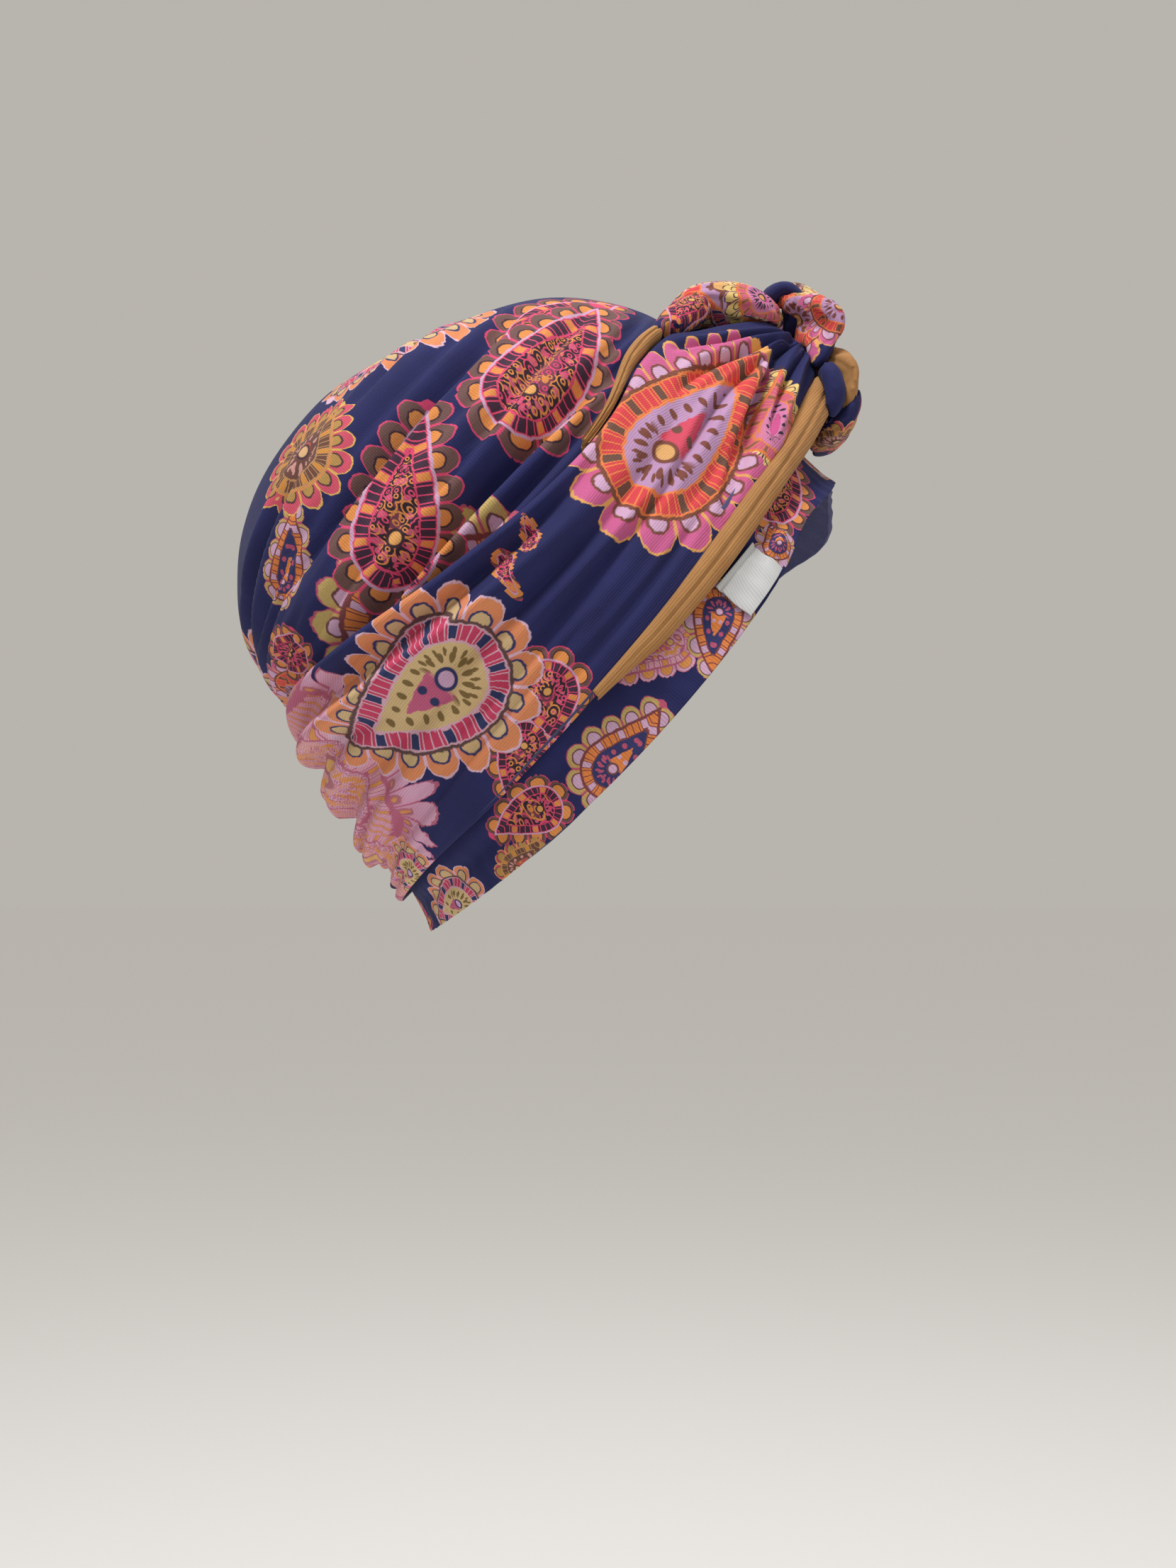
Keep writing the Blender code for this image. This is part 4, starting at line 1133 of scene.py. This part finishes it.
def print_motifs(piece, rows, place_of):
    """Writes the maps of a piece's motifs, with plain ground wherever no motif reaches."""
    mesh = piece.data
    points = read(mesh.vertices, "co", 3)
    normals = read(mesh.vertices, "normal", 3)
    index = corner_points(mesh)
    starts, owner = face_corners(mesh)
    for layer, (rows_map, eye_map) in enumerate(MOTIF_MAPS):
        nearest = np.full(len(starts), MOTIF_EDGE)
        edge = np.tile([0.5, FAR + PETAL_STEP], (len(index), 1)).astype(float)
        middle = np.zeros((len(index), 2))
        for row in rows:
            if row[-1] != layer:
                continue
            around, level, tip_around, tip_level, unit, width, bend, petals, colours, _ = row
            eye, inside = place_of(around, level)
            tip, _ = place_of(tip_around, tip_level)
            centre, ahead, aside, facing, reach = motif_frame(points, normals, eye, tip, inside)
            offset = points - centre
            flat_offset = offset - facing * (offset @ facing)[:, None]
            distance = np.linalg.norm(offset, axis=1)
            spread = distance / np.maximum(np.linalg.norm(flat_offset, axis=1), 1e-6)
            close = (distance < MOTIF_REACH * (reach + unit)) & (normals @ facing > FACING_AWAY)
            x = (flat_offset @ ahead) * spread / unit
            y = (flat_offset @ aside) * spread / unit
            turn = bend * np.maximum(x, 0) / (reach / unit)
            x, y = x * np.cos(turn) + y * np.sin(turn), y * np.cos(turn) - x * np.sin(turn)
            line = drop_outline(reach / unit, width / unit)
            share, beyond = np.zeros(len(points)), np.full(len(points), FAR)
            share[close], beyond[close] = beyond_outline(np.stack([x, y], axis=-1)[close], line)
            face_beyond = np.maximum.reduceat(beyond[index], starts)
            won = face_beyond < nearest
            nearest[won] = face_beyond[won]
            chosen = won[owner]
            edge[chosen, 0] = (share[index] + COLOUR_STEP * colours)[chosen]
            edge[chosen, 1] = (beyond[index] + PETAL_STEP * petals)[chosen]
            middle[chosen, 0] = x[index][chosen]
            middle[chosen, 1] = y[index][chosen]
        hidden = owner >= piece.get(OUTER_FACES, len(starts))
        edge[hidden] = (0.5 + COLOUR_STEP * REVERSE, FAR + PETAL_STEP)
        write_map(mesh, rows_map, edge)
        write_map(mesh, eye_map, middle)


def place_on_drape(side):
    """Places on a draped layer, and the point inside the hat from which it is seen."""
    return lambda turn, way: (drape(side * turn, way, MEAN_STAND), np.array(HAT_MIDDLE))


def place_on_roll(rows):
    """Places on a roll of the knot, and the point of its own path from which it is seen."""
    path, _, sideways, outward, thick, broad = roll_path(rows)

    def place(share, angle):
        at = int(np.clip(round(share * (PATH_STEPS - 1)), 0, PATH_STEPS - 1))
        turned = math.radians(angle)
        across = sideways[at] * math.cos(turned) * broad[at]
        return path[at] + across + outward[at] * math.sin(turned) * thick[at], path[at]

    return place


for name, rows in MOTIFS.items():
    print_motifs(CLOTH[name], rows, place_on_drape(LEFT if name.endswith("left") else RIGHT))
    print(name, "carries", len(rows), "motifs")
for node, rows in KNOT_ROLLS.items():
    piece = CLOTH[KNOT_PLEATS[node][0]]
    print_motifs(piece, KNOT_MOTIFS.get(piece.name, ()), place_on_roll(rows))

# %% [markdown]
# ## Painting with values
# A material is a small sum: masks from distances, then colours laid over each other. So that
# it reads like one, this class wraps a socket, and + - * / on it add the Math nodes.

# %% Values and looks


class Value:
    """A socket of a material, on which the operators add Math nodes."""

    def __init__(self, look, socket):
        self.look = look
        self.socket = socket

    def math(self, operation, *others, clamp=False):
        settings = {"operation": operation, "use_clamp": clamp}
        inputs = dict(enumerate((self, *others)))
        return self.look.add("ShaderNodeMath", settings, inputs)["Value"]

    def __add__(self, other):
        return self.math("ADD", other)

    def __sub__(self, other):
        return self.math("SUBTRACT", other)

    def __rsub__(self, other):
        return (self * -1) + other

    def __mul__(self, other):
        return self.math("MULTIPLY", other)

    def __truediv__(self, other):
        return self.math("DIVIDE", other)

    def __rtruediv__(self, other):
        return self.math("POWER", -1) * other

    def __pow__(self, other):
        return self.math("POWER", other)

    def __abs__(self):
        return self.math("ABSOLUTE")

    __radd__ = __add__
    __rmul__ = __mul__

    def part(self):
        """What is left above the whole number below."""
        return self.math("FRACT")

    def inside(self, blur):
        """1 where the value is above 0 and 0 where it is below, with a blurred edge."""
        return self.math("MULTIPLY_ADD", 1 / blur, 0.5, clamp=True)


class Look:
    """A cloth material, with one method that adds any node."""

    def __init__(self, name):
        self.material = bpy.data.materials.new(name)
        self.material.use_nodes = True
        self.tree = self.material.node_tree
        self.shader = self.tree.nodes["Principled BSDF"]

    def add(self, kind, settings=None, inputs=None):
        """Adds a node of a type, sets it, feeds its sockets and returns its outputs by name."""
        node = self.tree.nodes.new(kind)
        for name, value in (settings or {}).items():
            if name == "stops":
                self.set_stops(node.color_ramp, value)
            else:
                setattr(node, name, value)
        for name, value in (inputs or {}).items():
            self.feed(node, name, value)
        return {socket.name: Value(self, socket) for socket in node.outputs if socket.enabled}

    def feed(self, node, name, value):
        shown = [socket for socket in node.inputs if socket.enabled]
        socket = shown[name] if isinstance(name, int) else next(s for s in shown if s.name == name)
        if isinstance(value, Value):
            self.tree.links.new(value.socket, socket)
        else:
            socket.default_value = value

    def set_stops(self, ramp, stops):
        ramp.interpolation = "CONSTANT"
        while len(ramp.elements) < len(stops):
            ramp.elements.new(1.0)
        for element, (position, colour) in zip(ramp.elements, stops):
            element.position = position
            element.color = colour

    def mix(self, share, below, above):
        """Lays one colour over another."""
        return self.add("ShaderNodeMix", {"data_type": "RGBA"},
                        {"Factor": share, "A": below, "B": above})["Result"]

    def map(self, name):
        """The two numbers of a UV map."""
        places = self.add("ShaderNodeUVMap", {"uv_map": name})["UV"]
        split = self.add("ShaderNodeSeparateXYZ", None, {"Vector": places})
        return places, split["X"], split["Y"]

    def noise(self, places, scale, detail=2.0):
        settings = {"noise_dimensions": "2D"}
        return self.add("ShaderNodeTexNoise", settings,
                        {"Vector": places, "Scale": scale, "Detail": detail})["Fac"]


def colour(text):
    """A colour as a monitor shows it, such as c9618f, in Blender's linear numbers."""
    shown = [int(text[i:i + 2], 16) / 255 for i in (0, 2, 4)]
    return tuple(c / 12.92 if c < 0.04045 else ((c + 0.055) / 1.055) ** 2.4 for c in shown) + (1.0,)

# %% [markdown]
# ## The printed jersey
# Each row of the table is one set of inks. From the outside in, a paisley has petals with an
# outline, a disc at the foot of each petal, a ring, a band of stripes and beads, a field with
# a row of drops, a core towards the tip, and an eye. Each is painted over the one before by a
# mask from the distance beyond the outline, so the shapes stay crisp at any size.

# %% Inks
REVERSE_INK = "4a4a70"    # navy seen from the wrong side of the print
INKS = {
    # motif: petal, its line, disc, its line, ring, band, its line,
    #        bead, field, drop, core, eye, and how much of the field is curling line art
    GROUND: ("2c2f63",) * 12 + (0.0,),
    ROSE: ("cb5f93", "e2a55c", "d3a9cb", "7a4436", "7d4636", "d8434a", "ea8448",
           "6e4a3e", "bb91ba", "7b4438", "d44a62", "dba768", 0.0),
    ORANGE: ("dd8a5c", "dab4ca", "ccae80", "2a2f63", "5d4040", "c53a60", "d6a8bc",
             "27305f", "d2b483", "7a6236", "c05a80", "cfa6c8", 0.0),
    PLUM: ("6b4b48", "db4470", "dc8b48", "3a2030", "cba0c0", "3b1f36", "db4470",
           "dc8b48", "2a1828", "cc5a78", "7b3b50", "e0a35c", 1.0),
    RED: ("cf5068", "dcb25c", "b48c4c", "4a3038", "cf8c50", "6b4438", "b98c5c",
          "d08c3c", "6b443c", "cf9890", "b9564c", "dcb080", 0.0),
    OLIVE: ("c0a566", "b84e6e", "cba2c0", "6b3c40", "7b3c40", "dc7f3f", "7b3c40",
            "cba2c0", "2c2f63", "b84e6e", "dc7f3f", "cba2c0", 0.0),
    PALE: ("d6a2be", "b8607e", "dc9450", "b06a78", "b8607e", "dca0b4", "b8607e",
           "dc9450", "d6a2be", "dc9450", "c4608c", "e0b070", 1.0),
    YELLOW: ("e6c67c", "33203c", "e6c67c", "33203c", "e0723c", "cb5a80", "e0843f",
             "8a5a48", "d07ca6", "33203c", "c8508c", "e0a35c", 0.0),
    REVERSE: (REVERSE_INK,) * 12 + (0.0,),
}
INK_NAMES = ("petal", "petal line", "disc", "disc line", "ring", "band", "band line",
             "bead", "field", "drop", "core", "eye")

print("inks:", len(INKS), "sets of", len(INK_NAMES), "colours")

# %% [markdown]
# The rows of a motif are painted from the outside in. Drawing them with an image would fix
# their resolution, so masks made from the distance beyond the outline are used.

# %% Painting one layer of motifs
PETAL_HEIGHT = 0.52       # all in units of the motif's round end
OUTLINE = 0.040
PETAL_SIDE = 0.90         # where a petal's fill ends, as a share of its half width
PETAL_SPAN = 2.35         # half width of a petal, over the number of petals
PETAL_ROUND, PETAL_POINT = 0.14, 0.42
DISC_SIZE, DISC_FOOT = 1.62, 0.07
RING_OUT, RING_IN = 0.035, -0.025
BAND_OUT, BAND_IN = -0.050, -0.330
FIELD_IN = -0.365
BEATS, CELLS = 0.8, 3.2   # beads and cells of the band for each petal
BEAD_CELL, BEAD_SIZE, BEAD_ROW = 0.155, 0.12, -0.18
CELL_LINE = 0.42
DROP_ROW, DROP_LONG, DROP_WIDE = -0.53, 0.085, 0.20
CORE_IN = -0.68
EYE_OUT, EYE_IN = 0.19, 0.13
RAY_COUNT, RAY_PLACE, RAY_LONG, RAY_WIDE = 13, 0.36, 0.10, 0.26
CURL_SCALE = 300.0        # cells of the curling line art for each metre
INK_BLUR = 0.02
HAND_SWAY = 0.07          # how unevenly the outlines are drawn


def ink_colours(look, place):
    """The colours of one set of inks, looked up from steps of constant colour."""
    ink = {}
    for k, name in enumerate(INK_NAMES):
        stops = [(motif / len(INKS), colour(row[k])) for motif, row in INKS.items()]
        ink[name] = look.add("ShaderNodeValToRGB", {"stops": stops}, {"Fac": place})["Color"]
    stops = [(motif / len(INKS), (row[-1],) * 3 + (1.0,)) for motif, row in INKS.items()]
    curly = look.add("ShaderNodeValToRGB", {"stops": stops}, {"Fac": place})["Color"]
    return ink, curly


def paint_petals(look, below, ink, along, beyond, petals):
    """Pointed petals with a thin outline, and a disc at each petal's foot."""
    across = abs(along.part() * 2 - 1)
    petal = PETAL_HEIGHT * (1 - PETAL_ROUND * across - PETAL_POINT * across ** 3) - beyond
    result = look.mix(petal.inside(INK_BLUR), below, ink["petal line"])
    filled = (petal - OUTLINE).inside(INK_BLUR) * (PETAL_SIDE - across).inside(0.08)
    foot_shade = ((0.26 - beyond) * 1.5).math("MINIMUM", 0.4, clamp=True)
    shaded = look.mix(foot_shade, ink["petal"], ink["core"])
    result = look.mix(filled, result, shaded)
    foot = ((across * PETAL_SPAN / petals) ** 2 + (beyond - DISC_FOOT) ** 2) ** 0.5
    disc = DISC_SIZE / petals - foot
    result = look.mix(disc.inside(INK_BLUR), result, ink["disc line"])
    return look.mix((disc - OUTLINE).inside(INK_BLUR), result, ink["disc"])


def paint_band(look, below, ink, along, beyond):
    """A thin ring, and inside it a band of cells with a bead at every fourth."""
    result = look.mix((RING_OUT - beyond).inside(INK_BLUR), below, ink["ring"])
    result = look.mix((RING_IN - beyond).inside(INK_BLUR), result, ink["band line"])
    beat = abs((along * BEATS + 0.5).part() - 0.5)
    cell = abs((along * CELLS).part() - 0.5)
    band = look.mix((cell - CELL_LINE).inside(0.05), ink["band"], ink["band line"])
    band = look.mix((BEAD_CELL - beat).inside(0.02), band, ink["band line"])
    bead = (BEAD_SIZE - beat).inside(0.02) * (BEAD_SIZE - abs(beyond - BEAD_ROW)).inside(INK_BLUR)
    band = look.mix(bead, band, ink["bead"])
    result = look.mix((BAND_OUT - beyond).inside(INK_BLUR), result, band)
    return look.mix((BAND_IN - beyond).inside(INK_BLUR), result, ink["band line"])


def paint_field(look, below, ink, curly, along, beyond, x, y, weave):
    """The field inside the band: drops along its edge, rays round the eye, a core and curls."""
    drop_along = abs((along * 1.5).part() - 0.5) / DROP_WIDE
    drops = (1 - drop_along ** 2 - ((beyond - DROP_ROW) / DROP_LONG) ** 2).inside(0.5)
    field = look.mix(drops, ink["field"], ink["drop"])
    radius = (x ** 2 + y ** 2) ** 0.5
    spoke = abs((y.math("ARCTAN2", x) * (RAY_COUNT / (2 * math.pi))).part() - 0.5) / RAY_WIDE
    rays = (1 - spoke ** 2 - ((radius - RAY_PLACE) / RAY_LONG) ** 2).inside(0.5)
    field = look.mix(rays * (0.15 - x).inside(0.1), field, ink["drop"])
    core = (CORE_IN - beyond).inside(INK_BLUR) * (x - 0.1).inside(0.1)
    field = look.mix(core, field, ink["core"])
    dots = 0.075 - (((x * 1.25).part() - 0.5) ** 2 / 1.5 + (abs(y) - 0.13) ** 2) ** 0.5
    field = look.mix(dots.inside(INK_BLUR) * core, field, ink["bead"])
    curls = look.add("ShaderNodeTexVoronoi", {"voronoi_dimensions": "2D"},
                     {"Vector": weave, "Scale": CURL_SCALE})
    rings = (0.17 - abs((curls["Distance"] * 2.6).part() - 0.5)).inside(0.08)
    curl_ink = look.mix((curls["Color"] - 0.5).inside(0.1), ink["petal line"], ink["disc"])
    field = look.mix(rings * curly, field, curl_ink)
    field = look.mix((EYE_OUT - radius).inside(INK_BLUR), field, ink["disc line"])
    field = look.mix((EYE_IN - radius).inside(INK_BLUR), field, ink["eye"])
    return look.mix((FIELD_IN - beyond).inside(INK_BLUR), below, field)


def paint_motifs(look, below, maps, weave):
    """Lays one layer of motifs over what is below it."""
    _, first, second = look.map(maps[0])
    _, x, y = look.map(maps[1])
    inks = (first / COLOUR_STEP).math("FLOOR")
    petals = ((second + PETAL_STEP / 2) / PETAL_STEP).math("FLOOR")
    along = (first - inks * COLOUR_STEP) * petals
    sway = (look.noise(weave, 420.0) - 0.5) * HAND_SWAY
    beyond = second - petals * PETAL_STEP + sway
    place = (inks + 0.5) / len(INKS)
    ink, curly = ink_colours(look, place)
    result = paint_petals(look, below, ink, along, beyond, petals)
    result = paint_band(look, result, ink, along, beyond)
    return paint_field(look, result, ink, curly, along, beyond, x, y, weave), place

# %% [markdown]
# Jersey is knitted: its face shows fine ribs along the cloth, and stretched cloth opens them.
# The ribs raise a bump, and the colour is darkened a little in the grooves between them as painted
# shade, over a softer, uneven fuzz and patches of uneven tone.

# %% Knit
RIB_PITCH = 0.0009
RIB_DEPTH = 0.00018
NAVY_DYE = ("13164c", "1b1f5e")
TAN_DYE = ("a87440", "bb8850")
RIBBON_YARN = ("c6c7c8", "9a9d9f")
TWILL_PITCH = 0.0010
STITCH_PITCH = 0.8        # of a stitch along its rib, in pitches of the ribs
PATCH_SCALE, WAVER_SCALE, FUZZ_SCALE = 28.0, 90.0, 1500.0    # of noise, in cells for each metre


def knit(look, pitch, shade):
    """Ribs of the knit as a height, and as painted shade in the grooves between them on the colour, with
    uneven tone from fuzz and patches.
    """
    weave, u, v = look.map(WEAVE_MAP)
    waver = look.noise(weave, WAVER_SCALE)
    ribs = (u * (2 * math.pi / pitch) + waver * 5).math("SINE") * 0.5 + 0.5
    stitches = (v * (2 * math.pi / (pitch * STITCH_PITCH)) + ribs * 3).math("SINE") * 0.5 + 0.5
    fuzz = look.noise(weave, FUZZ_SCALE, 3.0)
    height = ribs * 0.7 + stitches * 0.15 + fuzz * 0.5
    patches = look.noise(weave, PATCH_SCALE)
    # painted shade: the colour darkens in the grooves between the ribs; fuzz and patches vary its tone
    # at random
    return weave, height, 1 - shade * (1 - ribs) + (fuzz - 0.5) * 0.16 + (patches - 0.5) * 0.12


def finish_knit(look, base, height, shade, roughness, sheen):
    # the base colour times the knit's painted groove shade and its uneven tone
    groove_shaded_mottled = look.add("ShaderNodeVectorMath", {"operation": "SCALE"},
                    {"Vector": base, "Scale": shade})
    look.feed(look.shader, "Base Color", groove_shaded_mottled["Vector"])
    bump = look.add("ShaderNodeBump", None,
                    {"Strength": 0.55, "Distance": RIB_DEPTH, "Height": height})
    look.feed(look.shader, "Normal", bump["Normal"])
    for name, value in (("Roughness", roughness), ("Sheen Weight", sheen), ("Sheen Roughness", 0.4)):
        look.feed(look.shader, name, value)
    return look.material


def printed_jersey():
    look = Look("printed_jersey")
    # the grooves between the ribs are darkened by 0.16 as painted shade
    weave, height, shade = knit(look, RIB_PITCH, 0.16)
    base = look.mix(look.noise(weave, 60.0), *map(colour, NAVY_DYE))
    for maps in MOTIF_MAPS:
        base, place = paint_motifs(look, base, maps, weave)
    reverse = (place - REVERSE / len(INKS)).inside(0.01)
    base = look.mix(reverse, base, colour(REVERSE_INK))
    return finish_knit(look, base, height, shade, 0.88, 0.03)


def tan_lining():
    look = Look("tan_lining")
    # the grooves between the ribs are darkened by 0.30 as painted shade
    weave, height, shade = knit(look, RIB_PITCH * 1.1, 0.30)
    base = look.mix(look.noise(weave, 120.0), *map(colour, TAN_DYE))
    return finish_knit(look, base, height, shade, 0.86, 0.06)


def satin_ribbon():
    """Woven satin: fine diagonal twill with a slight sheen."""
    look = Look("label_ribbon")
    weave, u, v = look.map(WEAVE_MAP)
    twill = ((u + v * 0.6) * (2 * math.pi / TWILL_PITCH)).math("SINE") * 0.5 + 0.5
    base = look.mix(twill * 0.35, *map(colour, RIBBON_YARN))
    look.feed(look.shader, "Base Color", base)
    bump = look.add("ShaderNodeBump", None, {"Strength": 0.4, "Distance": 0.0001, "Height": twill})
    look.feed(look.shader, "Normal", bump["Normal"])
    look.feed(look.shader, "Roughness", 0.42)
    return look.material


FINISHES = {
    "printed_jersey": printed_jersey(),
    "tan_lining": tan_lining(),
    "label_ribbon": satin_ribbon(),
}
for piece in CLOTH.values():
    piece.data.materials.clear()
    piece.data.materials.append(FINISHES[piece["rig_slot"]])
for name, material in FINISHES.items():
    print(name, "has", len(material.node_tree.nodes), "nodes")
